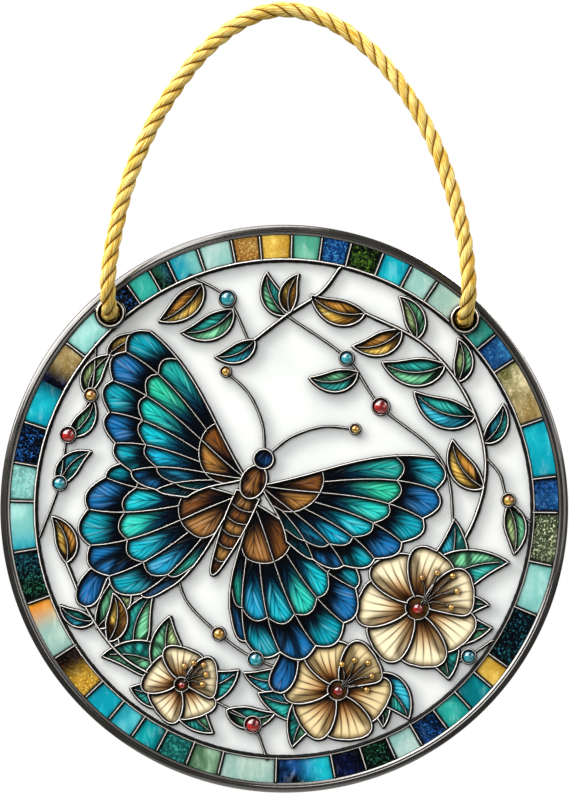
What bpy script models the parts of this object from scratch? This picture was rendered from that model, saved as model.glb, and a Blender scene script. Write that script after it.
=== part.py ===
"""Round acrylic suncatcher with a stained-glass look, hung by a twisted rope.

A clear acrylic panel sits in a turned metal rim. Raised lead lines lie on its front: a ring, the
spokes of a tile border and the lines of a butterfly among blossoms and leaves. Domed glass drops
sit on small lead pads. A rope passes through two eyelets and ends behind the panel in two knots.

The panel faces -Y, +Z is up, and the origin is the point that the part hangs from: the underside of
the rope at its highest point. Drawing on the panel is done in millimetres from the panel's centre,
with complex numbers: the real part runs to the right and the imaginary part up.
"""

from math import pi, radians

import bmesh
import bpy
import numpy as np
from mathutils import Vector
from mathutils.geometry import delaunay_2d_cdt

MM = 0.001
GAP = 0.3  # between pieces that touch

# Rim and panel
RIM_RADIUS = 100.0
RIM_LIP_RADIUS = 96.5
RIM_HALF_DEPTH = 2.9
RIM_BEVEL = 0.8
RIM_SEGMENTS = 48
PANEL_RADIUS = 98.0
PANEL_HALF_THICKNESS = 1.5

# Lead lines
LEAD_HEIGHT = 0.9
BORDER_LEAD = 1.5
MAIN_LEAD = 1.3
FINE_LEAD = 1.0
RING_RADIUS = 87.5  # centre line of the ring inside the tile border
SMALLEST_PANE = 6.0  # mm2; a gap between leads under this is filled with lead
LINE_STEP = 0.25  # between the points at which a line is tested for being hidden
LINE_TOLERANCE = 0.35  # how far a lead's centre line may stray from the drawn curve
OUTLINE_TOLERANCE = 0.28  # how far the edge of the lead work may stray from the leads' own edges
SHARPEST_MITRE = 0.6  # cosine that limits how far a lead's corner runs out at a sharp bend
NECK = 0.15  # added on each side where two gaps would touch at a point

# Domed drops of glass on lead pads
DROP_HEIGHT = 1.6
DROP_SHOULDER = (0.8, 0.65)  # of the drop's radius and height
PAD_MARGIN = 0.6

# Eyelets, at these angles from the right, counter-clockwise
EYELET_DISTANCE = 92.2
EYELET_ANGLES = {"left": radians(131.6), "right": radians(46.5)}
EYELET_BORE = 3.3
EYELET_BARREL = 3.9
EYELET_FLANGE = 5.6
EYELET_CROWN = 4.9  # radius of the front flange's flat top
EYELET_LIP = 0.7
EYELET_FRONT_LIP = 1.1
EYELET_ROUND = 0.5
EYELET_SEGMENTS = 12
EYELET_COLLAR_LEAD = 1.3

# Rope and its knots
ROPE_DIAMETER = 5.3
ROPE_RISE = 176.0  # from the panel's centre to the rope's centre line at its highest point
KNOT_RADIUS = 6.6
KNOT_LENGTH = 10.0
# The knot's outline, as shares of its radius and length, from the eyelet to the rope's end
KNOT_OUTLINE = [(0.55, 0.0), (0.94, 0.22), (1.0, 0.55), (0.8, 0.86)]
KNOT_TAIL = 4.5
KNOT_TAIL_RADIUS = 2.85

LEAD_BACK = -PANEL_HALF_THICKNESS - GAP
LEAD_FRONT = LEAD_BACK - LEAD_HEIGHT
LEAD_LIMIT = RIM_LIP_RADIUS - GAP
EYELET_HOLE = EYELET_BARREL + GAP
FLANGE_SEAT = RIM_HALF_DEPTH + GAP  # the eyelet's flanges lie on the rim's two faces
EYELET_BACK = FLANGE_SEAT + EYELET_LIP
EYELET_FRONT = FLANGE_SEAT + EYELET_FRONT_LIP
CENTRE_DROP = ROPE_RISE - ROPE_DIAMETER / 2  # the panel's centre lies this far under the origin


# ---------------------------------------------------------------- objects
def material(name, color, roughness, metallic=0.0, alpha=1.0):
    new = bpy.data.materials.new(name)
    new.use_nodes = True
    shader = new.node_tree.nodes["Principled BSDF"]
    shader.inputs["Base Color"].default_value = (*color, 1.0)
    shader.inputs["Roughness"].default_value = roughness
    shader.inputs["Metallic"].default_value = metallic
    shader.inputs["Alpha"].default_value = alpha
    return new


def place(name, data, look):
    """Put a mesh or curve in the scene, with its zero at the panel's centre"""
    piece = bpy.data.objects.new(name, data)
    piece.location.z = -CENTRE_DROP * MM
    data.materials.append(look)
    bpy.context.collection.objects.link(piece)
    return piece


def mesh_of(name, bm, smooth_angle=None):
    data = bpy.data.meshes.new(name)
    bm.to_mesh(data)
    bm.free()
    if smooth_angle:
        data.shade_smooth()
        data.set_sharp_from_angle(angle=radians(smooth_angle))
    return data


def on_panel(point, y):
    """A drawn point, set at depth y"""
    return Vector((point.real * MM, y * MM, point.imag * MM))


def turned(name, profile, segments, look, centre=0j, closed=True):
    """Turn a profile of (radius, y) about the Y axis through a point of the panel"""
    bm = bmesh.new()
    rings = []
    for radius, y in profile:
        spokes = centre + radius * np.exp(2j * pi * np.arange(segments) / segments)
        points = spokes if radius else spokes[:1]
        rings.append([bm.verts.new(on_panel(p, y)) for p in points])
    pairs = list(zip(rings, rings[1:] + rings[:1] if closed else rings[1:]))
    for near, far in pairs:
        for i in range(segments):
            j = (i + 1) % segments
            corners = [near[i % len(near)], near[j % len(near)], far[j % len(far)], far[i % len(far)]]
            bm.faces.new(list(dict.fromkeys(corners)))
    bmesh.ops.recalc_face_normals(bm, faces=bm.faces)
    return place(name, mesh_of(name, bm, smooth_angle=35), look)


EYELETS = {side: EYELET_DISTANCE * np.exp(1j * angle) for side, angle in EYELET_ANGLES.items()}


# ---------------------------------------------------------------- drawing
covers = []  # closed outlines, the topmost first: each hides the leads drawn after it
leads = []  # (points, width, number of covers above)
pads = []  # outlines filled with lead, under the drops

PETAL_SHARE = 5.6  # sum of the petals' widths, as a share of the blossom's radius
HEART_SHARE = 0.2
LEAF_SLIMNESS = 0.44
LEAF_BOW = 0.14
MARGIN_BULGE = 0.055  # of the scallops between a wing's veins
FEELER_TIP = 2.0


def smooth(points, per=6):
    """A smooth curve through a few chosen points (Catmull-Rom)"""
    ends = [2 * points[0] - points[1], *points, 2 * points[-1] - points[-2]]
    out = []
    for a, b, c, d in zip(ends, ends[1:], ends[2:], ends[3:]):
        t = np.arange(per) / per
        bend = (2 * a - 5 * b + 4 * c - d) * t**2 + (3 * b - a - 3 * c + d) * t**3
        out.extend(b + 0.5 * ((c - a) * t + bend))
    return np.array(out + [points[-1]])


def along(line, fraction):
    """The point at a fraction of a line's length"""
    run = np.concatenate([[0], np.cumsum(np.abs(np.diff(line)))])
    at = np.asarray(fraction) * run[-1]
    return np.interp(at, run, line.real) + 1j * np.interp(at, run, line.imag)


def circle(centre, radius, steps=20):
    return centre + radius * np.exp(2j * pi * np.arange(steps) / steps)


def line(points, width=FINE_LEAD):
    leads.append((np.asarray(points), width, len(covers)))


def pane(outline, lead=0.0):
    if lead:
        line(np.append(outline, outline[0]), lead)
    covers.append(np.asarray(outline))


def blade(root, tip, width, bow, pointed):
    """The two sides of a leaf, or of a petal with a round end"""
    t = np.linspace(0, 1, 24)
    spine = root + (tip - root) * (t + 4j * bow * t * (1 - t))
    half = np.sin(pi * t**0.8) ** 0.85 if pointed else t**0.7 * np.sqrt(1 - t**5)
    way = np.gradient(spine)
    out = 1j * way / np.abs(way) * half / half.max() * width / 2
    return spine + out, spine - out


def leaf(root, tip, width, bow):
    left, right = blade(root, tip, width, bow, pointed=True)
    pane(np.concatenate([left, right[-2:0:-1]]), MAIN_LEAD)


def petal(root, tip, width, bow):
    left, right = blade(root, tip, width, bow, pointed=False)
    return np.concatenate([left, right[-2::-1]])


def blossom(centre, radius, petals, turn):
    pane(circle(centre, HEART_SHARE * radius, 14), FINE_LEAD)
    for i in range(petals):
        way = np.exp(1j * (turn + 2 * pi * i / petals))
        root, tip = centre + HEART_SHARE / 2 * radius * way, centre + radius * way
        pane(petal(root, tip, PETAL_SHARE * radius / petals, 0.05), MAIN_LEAD)


def wing(side, root, margin, cells, hub, curl):
    """Veins fan out from an arc round the root to a scalloped margin"""
    edge = smooth(margin, 30)
    f = np.linspace(0, 1, 7)

    def crossing(reach, cell, bulge):
        way = along(edge, (cell + f) / cells) - root
        return root + way * reach * (1 + bulge * np.sin(pi * f)) * np.exp(1j * curl * reach * (1 - reach))

    def vein(at, start):
        reach = np.linspace(start, 1, 7)
        way = along(edge, at) - root
        return root + way * reach * np.exp(1j * curl * reach * (1 - reach))

    margins = np.concatenate([crossing(1.0, cell, MARGIN_BULGE) for cell in range(cells)])
    first, last = vein(0.0, 0.0), vein(1.0, 0.0)
    for points in (first, last, margins):
        line(side(points), MAIN_LEAD)
    line(side(np.concatenate([crossing(hub, cell, 0.0) for cell in range(cells)])))
    for cell in range(1, cells):
        line(side(vein(cell / cells, hub)))
    covers.append(side(np.concatenate([first, margins, last[::-1]])))


# ---------------------------------------------------------------- the butterfly, uppermost piece first
BUTTERFLY_AT = -13 + 4j
BUTTERFLY_TURN = 0.96 * np.exp(1j * radians(-24))
FOREWING = [57 + 41j, 62 + 31j, 62 + 18j, 57 + 5j, 47 - 6j, 34 - 11j, 20 - 9j]
HINDWING = [42 - 4j, 50 - 14j, 51 - 29j, 43 - 42j, 31 - 48j, 20 - 48j, 11 - 40j]
ABDOMEN = [4.6 + 1j, 4.4 - 9j, 3.2 - 20j, 1.2 - 30j, -1.2 - 30j, -3.2 - 20j, -4.4 - 9j, -4.6 + 1j]


def right_side(z):
    return BUTTERFLY_AT + BUTTERFLY_TURN * np.asarray(z)


def left_side(z):
    return BUTTERFLY_AT - BUTTERFLY_TURN * np.conj(z)


def draw_butterfly():
    pane(right_side(circle(15.2j, 3.6, 14)), MAIN_LEAD)
    thorax = circle(0, 1)
    pane(right_side(6j + 4.6 * thorax.real + 6.4j * thorax.imag), MAIN_LEAD)
    pane(right_side(ABDOMEN), MAIN_LEAD)
    for side in (right_side, left_side):
        wing(side, 3 + 6j, FOREWING, cells=7, hub=0.36, curl=0.35)
    for side in (right_side, left_side):
        wing(side, 3 - 1j, HINDWING, cells=6, hub=0.4, curl=-0.3)
        pane(side(petal(33 - 38j, 38 - 61j, 9, 0.12)), MAIN_LEAD)
    for side in (right_side, left_side):
        feeler = side(smooth([1 + 18j, 6 + 27j, 15 + 35j, 26 + 39j]))
        pads.append(circle(feeler[-1], FEELER_TIP, 8))
        line(feeler)


# ---------------------------------------------------------------- blossoms, leaves, drops and tendrils
BLOSSOMS = [(47 - 35j, 21, 7, 0.3), (19 - 64j, 18, 6, 0.75), (-36 - 62j, 13, 5, 0.2)]
BLOSSOM_LEAVES = [
    (47 - 35j, 79 - 19j, 15, 0.14), (47 - 35j, 73 - 42j, 14, -0.12), (45 - 40j, 58 - 60j, 15, 0.14),
    (47 - 35j, 60 - 4j, 14, -0.14), (30 - 60j, 44 - 74j, 11, 0.12), (19 - 64j, 3 - 84j, 12, -0.14),
    (17 - 64j, -9 - 65j, 13, 0.16), (-36 - 62j, -25 - 79j, 10, -0.12), (-36 - 62j, -54 - 63j, 11, 0.14),
    (-36 - 62j, -16 - 57j, 11, -0.15), (-36 - 62j, -40 - 38j, 12, 0.14)]
# Each spray: the stem's points, then its leaves as (place on the stem, turn in degrees, length)
SPRAYS = [
    ([52 - 30j, 67 - 4j, 71 + 18j, 64 + 40j, 49 + 58j, 28 + 69j],
     [(0.34, 42, 20), (0.47, -40, 15), (0.55, 46, 23), (0.66, -36, 15), (0.72, 46, 22), (0.83, -36, 16),
      (0.88, 44, 18), (0.995, 8, 20)]),
    ([-40 - 62j, -57 - 52j, -69 - 36j, -77 - 18j], [(0.45, -44, 17), (0.6, 34, 13), (0.98, -6, 17)]),
    ([-12 + 58j, 1 + 68j, 13 + 76j, 20 + 85j], [(0.05, 165, 15), (0.42, 44, 14)])]
DROPS = [
    (34 + 36j, 2.7, "red"), (22 + 53j, 2.2, "teal"), (-20 + 74j, 2.6, "teal"), (-76 + 26j, 2.5, "red"),
    (-79 + 9j, 2.2, "teal"), (-68 + 40j, 2.0, "gold"), (-10 - 53j, 2.4, "teal"), (-23 - 44j, 2.0, "gold"),
    (-11 - 76j, 2.6, "red"), (65 - 52j, 2.2, "teal"), (79 + 3j, 2.0, "gold")]
TENDRILS = [
    [60 - 14j, 56 + 16j, 34 + 36j, 22 + 53j, 1 + 68j], [-12 + 58j, -20 + 74j, -33 + 82j],
    [-86 - 10j, -79 + 9j, -76 + 26j, -68 + 40j, -66 + 58j], [71 + 18j, 76 + 12j, 79 + 3j, 88 - 6j],
    [5 - 58j, -10 - 53j, -23 - 44j, -34 - 33j, -38 - 22j], [-36 - 62j, -20 - 70j, -11 - 76j, -6 - 88j],
    [55 - 57j, 65 - 52j, 74 - 46j]]


def draw_garden():
    for at, radius, _ in DROPS:
        pads.append(circle(at, radius + PAD_MARGIN, 8))
    for centre, radius, petals, turn in BLOSSOMS:
        blossom(centre, radius, petals, turn)
    for root, tip, width, bow in BLOSSOM_LEAVES:
        leaf(root, tip, width, bow)
    for points, leaves in SPRAYS:
        stem = smooth(points, 12)
        for at, turn, length in leaves:
            root = along(stem, at)
            way = along(stem, min(at + 0.02, 1.0)) - along(stem, min(at, 0.98))
            tip = root + length * way / abs(way) * np.exp(1j * radians(turn))
            leaf(root, tip, LEAF_SLIMNESS * length, LEAF_BOW * np.sign(turn))
        line(stem, MAIN_LEAD)
    for points in TENDRILS:
        line(smooth(points))


# ---------------------------------------------------------------- the tile border
# Angles in degrees from the top, clockwise, of the spokes between the tiles
TILE_SPOKES = [1.6, 8, 14.2, 21.2, 27.7, 34, 50.5, 57, 70.8, 83.2, 90.8, 102, 113, 125.3, 130.7, 137, 143.5,
               149.7, 156, 162.5, 169.3, 181.8, 194, 201, 207.8, 213.8, 219.8, 226.5, 236.9, 249.7, 260.8,
               271.7, 279.8, 288.5, 307.3, 324.9, 330.5, 334.6, 341.5, 348.8, 354.8]


def draw_border():
    line(np.append(circle(0, RING_RADIUS, RIM_SEGMENTS), RING_RADIUS), BORDER_LEAD)
    for degrees in TILE_SPOKES:
        way = 1j * np.exp(-1j * radians(degrees))
        line([RING_RADIUS * way, RIM_RADIUS * way], MAIN_LEAD)
    for centre in EYELETS.values():
        collar = circle(centre, EYELET_HOLE + EYELET_COLLAR_LEAD / 2, 12)
        line(np.append(collar, collar[0]), EYELET_COLLAR_LEAD)


# ---------------------------------------------------------------- lead lines as one solid
def inside(outline, points):
    """Which points lie inside a closed outline, by counting crossings"""
    hit = np.zeros(len(points), bool)
    for a, b in zip(outline, np.roll(outline, -1)):
        crosses = (a.imag > points.imag) != (b.imag > points.imag)
        if crosses.any():
            at = a.real + (b.real - a.real) * (points.imag - a.imag) / (b.imag - a.imag)
            hit ^= crosses & (points.real < at)
    return hit


def visible_runs(points, above, radius):
    """The stretches of a line that no cover above hides and that lie inside a radius"""
    steps = [a + (b - a) * np.arange(n) / n for a, b in zip(points, points[1:])
             for n in [max(1, int(abs(b - a) / LINE_STEP))]]
    fine = np.concatenate([*steps, points[-1:]])
    shown = np.abs(fine) <= radius
    for cover in covers[:above]:
        shown &= ~inside(cover, fine)
    changes = np.flatnonzero(np.diff(shown.astype(int))) + 1
    runs = zip(np.split(fine, changes), np.split(shown, changes))
    return [run for run, keep in runs if keep[0] and len(run) > 2]


def simplified(points, tolerance):
    """Drop points that lie within a tolerance of the chord (Douglas-Peucker)"""
    chord = points[-1] - points[0]
    if abs(chord) < 1e-6:
        off = np.abs(points - points[0])
    else:
        off = np.abs(((points - points[0]) * np.conj(chord)).imag) / abs(chord)
    far = int(off.argmax())
    if off[far] <= tolerance or len(points) < 3:
        return np.array([points[0], points[-1]])
    near_half, far_half = simplified(points[:far + 1], tolerance), simplified(points[far:], tolerance)
    return np.concatenate([near_half[:-1], far_half])


def strip(points, width):
    """Quads along a line, with mitred joints and ends that run on by a third of the width"""
    closed = abs(points[0] - points[-1]) < 1e-6
    way = np.diff(points)
    way = way / np.abs(way)
    before = np.concatenate([[way[-1] if closed else way[0]], way])
    after = np.concatenate([way, [way[0] if closed else way[-1]]])
    middle = before + after
    middle = middle / np.abs(middle)
    reach = width / 2 / np.maximum((middle * np.conj(after)).real, SHARPEST_MITRE)
    if not closed:
        points = points.copy()
        points[0] -= way[0] * width / 3
        points[-1] += way[-1] * width / 3
    left, right = points + 1j * middle * reach, points - 1j * middle * reach
    return [(left[i], right[i], right[i + 1], left[i + 1]) for i in range(len(points) - 1)]


def lead_triangles():
    """Triangles of the union of all strips inside the limit, with slivers between leads filled"""
    limit = circle(0, LEAD_LIMIT, RIM_SEGMENTS)
    holes = [circle(centre, EYELET_HOLE, 12) for centre in EYELETS.values()]
    loops = [limit, *holes, *pads]
    for points, width, above in leads:
        for run in visible_runs(points, above, RIM_RADIUS):
            loops += [np.array(quad) for quad in strip(simplified(run, LINE_TOLERANCE), width)]
    places, faces = [], []
    for loop in loops:
        faces.append(list(range(len(places), len(places) + len(loop))))
        places += [Vector((p.real, p.imag)) for p in loop]
    points, _, triangles, _, _, owners = delaunay_2d_cdt(places, [], faces, 0, 0.02)
    lead = [0 in own and not {1, 2} & set(own) and any(o > 2 for o in own) for own in owners]
    free = [0 in own and not {1, 2} & set(own) for own in owners]
    fill_slivers(points, triangles, lead, free)
    return points, [t for t, keep in zip(triangles, lead) if keep]


def fill_slivers(points, triangles, lead, free):
    """Turn each small gap between leads into lead"""
    sides = {}
    for index, triangle in enumerate(triangles):
        for a, b in zip(triangle, triangle[1:] + triangle[:1]):
            sides.setdefault(frozenset((a, b)), []).append(index)
    neighbours = {}
    for pair in sides.values():
        for index in pair:
            neighbours.setdefault(index, set()).update(pair)
    seen = set()
    for start in range(len(triangles)):
        if lead[start] or start in seen or not free[start]:
            continue
        region, edge = {start}, [start]
        while edge:
            for other in neighbours[edge.pop()]:
                if other not in region and free[other] and not lead[other]:
                    region.add(other)
                    edge.append(other)
        seen |= region
        area = 0.0
        for index in region:
            a, b, c = (points[i] for i in triangles[index])
            area += abs((b - a).cross(c - a)) / 2
        if area < SMALLEST_PANE:
            for index in region:
                lead[index] = True


def outlines(points, triangles):
    """Closed outlines of a set of triangles, each gap's outline apart from the next one's"""
    at = [complex(p.x, p.y) for p in points]
    sides = {(a, b) for t in triangles for a, b in zip(t, t[1:] + t[:1])}
    ahead = {}
    for a, b in sides:
        if (b, a) not in sides:
            ahead.setdefault(a, []).append(b)
    shared = {a for a, ends in ahead.items() if len(ends) > 1}
    found = []
    while any(ahead.values()):
        start = next(a for a, ends in ahead.items() if ends)
        loop = [start, ahead[start].pop()]
        while loop[-1] != start:
            a, b = loop[-2:]
            turn = [np.angle((at[c] - at[b]) / (at[a] - at[b])) % (2 * pi) for c in ahead[b]]
            loop.append(ahead[b].pop(int(np.argmin(turn))))
        loop.pop()
        outline = np.array([at[i] for i in loop])
        back, fore = np.roll(outline, 1) - outline, np.roll(outline, -1) - outline
        inward = back / np.abs(back) + fore / np.abs(fore)
        inward = inward / np.maximum(np.abs(inward), 1e-9)
        touching = np.array([i in shared for i in loop])
        found.append(outline + touching * inward * NECK)
    return found


def build_leads(look):
    loops = [simplified(np.append(o, o[0]), OUTLINE_TOLERANCE)[:-1] for o in outlines(*lead_triangles())]
    loops = [o for o in loops if len(o) > 2]
    starts = np.cumsum([0] + [len(o) for o in loops])
    sides = [(s + i, s + (i + 1) % len(o)) for s, o in zip(starts, loops) for i in range(len(o))]
    places = np.concatenate(loops)
    flat = [Vector((p.real, p.imag)) for p in places]
    points, _, triangles, *_ = delaunay_2d_cdt(flat, sides, [], 0, 1e-4)
    at = np.array([complex(p.x, p.y) for p in points])
    middles = at[np.array(triangles)].mean(axis=1)
    filled = np.zeros(len(triangles), bool)
    for outline in loops:
        filled ^= inside(outline, middles)
    bm = bmesh.new()
    corners = [bm.verts.new(on_panel(p, LEAD_BACK)) for p in at]
    for triangle, keep in zip(triangles, filled):
        if keep:
            bm.faces.new([corners[i] for i in triangle])
    front = bmesh.ops.extrude_face_region(bm, geom=bm.faces[:])["geom"]
    moved = [v for v in front if isinstance(v, bmesh.types.BMVert)]
    bmesh.ops.translate(bm, verts=moved, vec=(0, -LEAD_HEIGHT * MM, 0))
    bmesh.ops.recalc_face_normals(bm, faces=bm.faces)
    return place("lead_lines", mesh_of("lead_lines", bm), look)


# ---------------------------------------------------------------- panel, rim, eyelets and drops
def build_panel(look):
    half = PANEL_HALF_THICKNESS
    panel = turned("acrylic_panel", [(0, -half), (PANEL_RADIUS, -half), (PANEL_RADIUS, half), (0, half)],
                   RIM_SEGMENTS, look, closed=False)
    for side, centre in EYELETS.items():
        through = [(0, -2 * half), (EYELET_HOLE, -2 * half), (EYELET_HOLE, 2 * half), (0, 2 * half)]
        cutter = turned(f"eyelet_hole_{side}", through, EYELET_SEGMENTS, look, centre, closed=False)
        cutter.hide_render = True
        cutter.display_type = "WIRE"
        cut = panel.modifiers.new(cutter.name, "BOOLEAN")
        cut.object = cutter


def build_rim(look):
    """A channel that grips the panel's edge, with bevelled outer corners"""
    channel, slot = PANEL_RADIUS + GAP, PANEL_HALF_THICKNESS + GAP
    half = [(channel, slot), (RIM_LIP_RADIUS, slot), (RIM_LIP_RADIUS, RIM_HALF_DEPTH),
            (RIM_RADIUS - RIM_BEVEL, RIM_HALF_DEPTH), (RIM_RADIUS, RIM_HALF_DEPTH - RIM_BEVEL)]
    turned("rim_frame", [(r, -y) for r, y in half] + half[::-1], RIM_SEGMENTS, look)


def build_eyelets(look):
    """Barrel through the panel, with a rounded flange in front and a flat one behind"""
    for side, centre in EYELETS.items():
        front = [(EYELET_BORE, -FLANGE_SEAT - EYELET_ROUND), (EYELET_BARREL, -EYELET_FRONT),
                 (EYELET_CROWN, -EYELET_FRONT), (EYELET_FLANGE, -FLANGE_SEAT - EYELET_ROUND),
                 (EYELET_FLANGE, -FLANGE_SEAT), (EYELET_BARREL, -FLANGE_SEAT)]
        back = [(EYELET_BARREL, FLANGE_SEAT), (EYELET_FLANGE, FLANGE_SEAT), (EYELET_FLANGE, EYELET_BACK),
                (EYELET_BORE, EYELET_BACK)]
        turned(f"eyelet_{side}", front + back, EYELET_SEGMENTS, look, centre)


def build_drops():
    glass = {"red": (0.3, 0.02, 0.01), "teal": (0.01, 0.2, 0.25), "gold": (0.5, 0.25, 0.04)}
    looks = {name: material(f"{name}_glass", color, 0.08) for name, color in glass.items()}
    seat = LEAD_FRONT - GAP
    for number, (centre, radius, name) in enumerate(DROPS, 1):
        shoulder = (DROP_SHOULDER[0] * radius, seat - DROP_SHOULDER[1] * DROP_HEIGHT)
        profile = [(0, seat), (radius, seat), shoulder, (0, seat - DROP_HEIGHT)]
        turned(f"glass_drop_{number:02d}", profile, 8, looks[name], centre, closed=False)


# ---------------------------------------------------------------- rope and knots
# The rope's centre line from the left knot to the right one, as (x, y, z) from the panel's centre:
# forward through the eyelet, up in front of the rim, and over in an arch above the panel.
ROPE_ROUTE = [
    (-61.2, 3.9, 68.9), (-61.2, 0.6, 68.9), (-61.2, -3.0, 69.0), (-61.3, -7.2, 70.4),
    (-61.5, -11.0, 73.6), (-61.6, -13.2, 78.0), (-61.2, -13.6, 83.5), (-59.6, -12.6, 94.0),
    (-56.0, -10.8, 110.0), (-49.8, -8.7, 127.0), (-40.5, -6.2, 144.5), (-28.0, -3.6, 161.0),
    (-14.0, -1.2, 172.0), (0.0, 0.0, 176.0), (15.5, -1.1, 171.9), (30.0, -3.6, 161.6),
    (42.0, -6.2, 147.2), (51.8, -8.7, 130.0), (58.5, -10.8, 112.0), (62.6, -12.6, 95.5),
    (64.2, -13.6, 81.5), (64.4, -13.2, 76.0), (64.0, -11.0, 71.6), (63.7, -7.2, 68.4),
    (63.5, -3.0, 67.0), (63.5, 0.6, 66.9), (63.5, 3.9, 66.9)]


def build_rope(look):
    route = np.array(ROPE_ROUTE)
    flat = smooth([complex(x, z) for x, _, z in route], per=2)
    depth = smooth([complex(y, 0) for y in route[:, 1]], per=2).real
    data = bpy.data.curves.new("hanging_rope", "CURVE")
    data.dimensions = "3D"
    data.bevel_depth = ROPE_DIAMETER / 2 * MM
    data.bevel_resolution = 2
    data.use_fill_caps = True
    spline = data.splines.new("POLY")
    spline.points.add(len(flat) - 1)
    for point, place_at, y in zip(spline.points, flat, depth):
        point.co = (*on_panel(place_at, y), 1.0)
    place("hanging_rope", data, look)


def build_knots(look):
    """Stopper knots against the eyelets' back flanges, each with the rope's short end"""
    face = EYELET_BACK + GAP
    end = face + KNOT_LENGTH
    round_part = [(r * KNOT_RADIUS, face + t * KNOT_LENGTH) for r, t in KNOT_OUTLINE]
    tail = [(KNOT_TAIL_RADIUS, end), (KNOT_TAIL_RADIUS, end + KNOT_TAIL), (0, end + KNOT_TAIL)]
    for side, centre in EYELETS.items():
        turned(f"rope_knot_{side}", [(0, face), *round_part, *tail], 10, look, centre, closed=False)


# ---------------------------------------------------------------- the part
for old in list(bpy.data.objects):
    bpy.data.objects.remove(old, do_unlink=True)

draw_butterfly()
draw_garden()
draw_border()
pewter = material("pewter", (0.16, 0.155, 0.145), 0.35, 0.9)
rope_yarn = material("golden_yarn", (0.72, 0.42, 0.07), 0.8)
build_panel(material("acrylic", (0.86, 0.88, 0.88), 0.08, alpha=0.5))
build_rim(pewter)
build_leads(material("lead", (0.09, 0.07, 0.05), 0.4, 0.8))
build_eyelets(pewter)
build_drops()
build_rope(rope_yarn)
build_knots(rope_yarn)
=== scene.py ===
"""Looks of the round acrylic suncatcher: stained-glass panes, lead lines, rim, eyelets and rope.

Drawing on the panel is done in millimetres from its centre, with complex numbers: the real part runs
to the right and the imaginary part up. Depths are in millimetres too, and -Y is the front.
"""

from math import pi, radians

import bmesh
import bpy
import numpy as np
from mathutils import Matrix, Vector
from mathutils.geometry import delaunay_2d_cdt
from mathutils.kdtree import KDTree


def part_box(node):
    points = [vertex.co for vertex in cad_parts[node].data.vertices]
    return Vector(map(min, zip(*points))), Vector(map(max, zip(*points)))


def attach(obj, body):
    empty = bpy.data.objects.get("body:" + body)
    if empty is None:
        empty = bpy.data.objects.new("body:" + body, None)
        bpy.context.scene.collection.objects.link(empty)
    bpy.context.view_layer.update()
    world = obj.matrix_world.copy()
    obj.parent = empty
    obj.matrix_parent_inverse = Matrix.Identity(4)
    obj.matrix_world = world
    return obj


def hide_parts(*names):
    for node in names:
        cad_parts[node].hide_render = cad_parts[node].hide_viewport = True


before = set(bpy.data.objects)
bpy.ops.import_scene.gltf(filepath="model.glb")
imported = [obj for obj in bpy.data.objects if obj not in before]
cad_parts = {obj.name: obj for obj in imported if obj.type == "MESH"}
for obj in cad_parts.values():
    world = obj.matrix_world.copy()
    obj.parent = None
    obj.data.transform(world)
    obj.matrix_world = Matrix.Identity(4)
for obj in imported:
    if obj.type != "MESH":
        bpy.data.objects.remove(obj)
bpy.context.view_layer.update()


# ---------------- the camera
# A portrait lens straight in front of the suncatcher, a little above the panel's centre, so that the
# panel and the whole rope loop fill the frame from side to side.
PANEL_CENTRE = sum(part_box("rim_frame"), Vector()) / 2
CAMERA_DISTANCE = 1.2
CAMERA_RISE = 0.0390
CAMERA_ASIDE = 0.0001
FIELD_HEIGHT = 0.2807
SENSOR_WIDTH = 36

camera = bpy.data.objects.new("camera", bpy.data.cameras.new("camera"))
camera.data.sensor_width = SENSOR_WIDTH
camera.data.lens = SENSOR_WIDTH * CAMERA_DISTANCE / FIELD_HEIGHT
camera.location = (CAMERA_ASIDE, -CAMERA_DISTANCE, PANEL_CENTRE.z + CAMERA_RISE)
camera.rotation_euler = (pi / 2, 0, 0)
bpy.context.collection.objects.link(camera)
bpy.context.scene.camera = camera


# ---------------- the rope
# A golden rope laid from three strands, each twisted from yarns the other way. It starts in a knot
# behind the left eyelet, comes forward through it, arches over the panel and goes back through the
# right one. The loop carries the suncatcher on a hook or nail.
MM = 0.001
ROPE_LAY = 19.0  # along the rope, for one turn of a strand
ROPE_STEP = 0.85
STRANDS = 3
STRAND_RADIUS = 1.75
STRAND_OFFSET = 1.05
YARNS = 12
YARN_RELIEF = 0.08
POINTS_PER_YARN = 3
YARN_TURNS = -1.5  # for each turn of the strand
STRAND_SHIFT = 40.0  # between the strands' fibre patterns
ROPE_ROUTE = [
    (-61.2, 3.9, 68.9), (-61.2, 0.6, 68.9), (-61.2, -3.0, 69.0), (-61.3, -7.2, 70.4),
    (-61.5, -11.0, 73.6), (-61.6, -13.2, 78.0), (-61.2, -13.6, 83.5), (-59.6, -12.6, 94.0),
    (-56.0, -10.8, 110.0), (-49.8, -8.7, 127.0), (-40.5, -6.2, 144.5), (-28.0, -3.6, 161.0),
    (-14.0, -1.2, 172.0), (0.0, 0.0, 176.0), (15.5, -1.1, 171.9), (30.0, -3.6, 161.6),
    (42.0, -6.2, 147.2), (51.8, -8.7, 130.0), (58.5, -10.8, 112.0), (62.6, -12.6, 95.5),
    (64.2, -13.6, 81.5), (64.4, -13.2, 76.0), (64.0, -11.0, 71.6), (63.7, -7.2, 68.4),
    (63.5, -3.0, 67.0), (63.5, 0.6, 66.9), (63.5, 3.9, 66.9)]


def smooth(points, per=12):
    """A smooth curve through a few chosen points, with so many steps between them (Catmull-Rom)"""
    points = np.asarray(points)
    ends = np.concatenate([[2 * points[0] - points[1]], points, [2 * points[-1] - points[-2]]])
    a, b, c, d = (ends[i:len(ends) - 3 + i] for i in range(4))
    steps = []
    for t in np.arange(per) / per:
        bend = (2 * a - 5 * b + 4 * c - d) * t**2 + (3 * b - a - 3 * c + d) * t**3
        steps.append(b + 0.5 * ((c - a) * t + bend))
    out = np.stack(steps, axis=1).reshape(-1, *points.shape[1:])
    return np.concatenate([out, points[-1:]])


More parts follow.
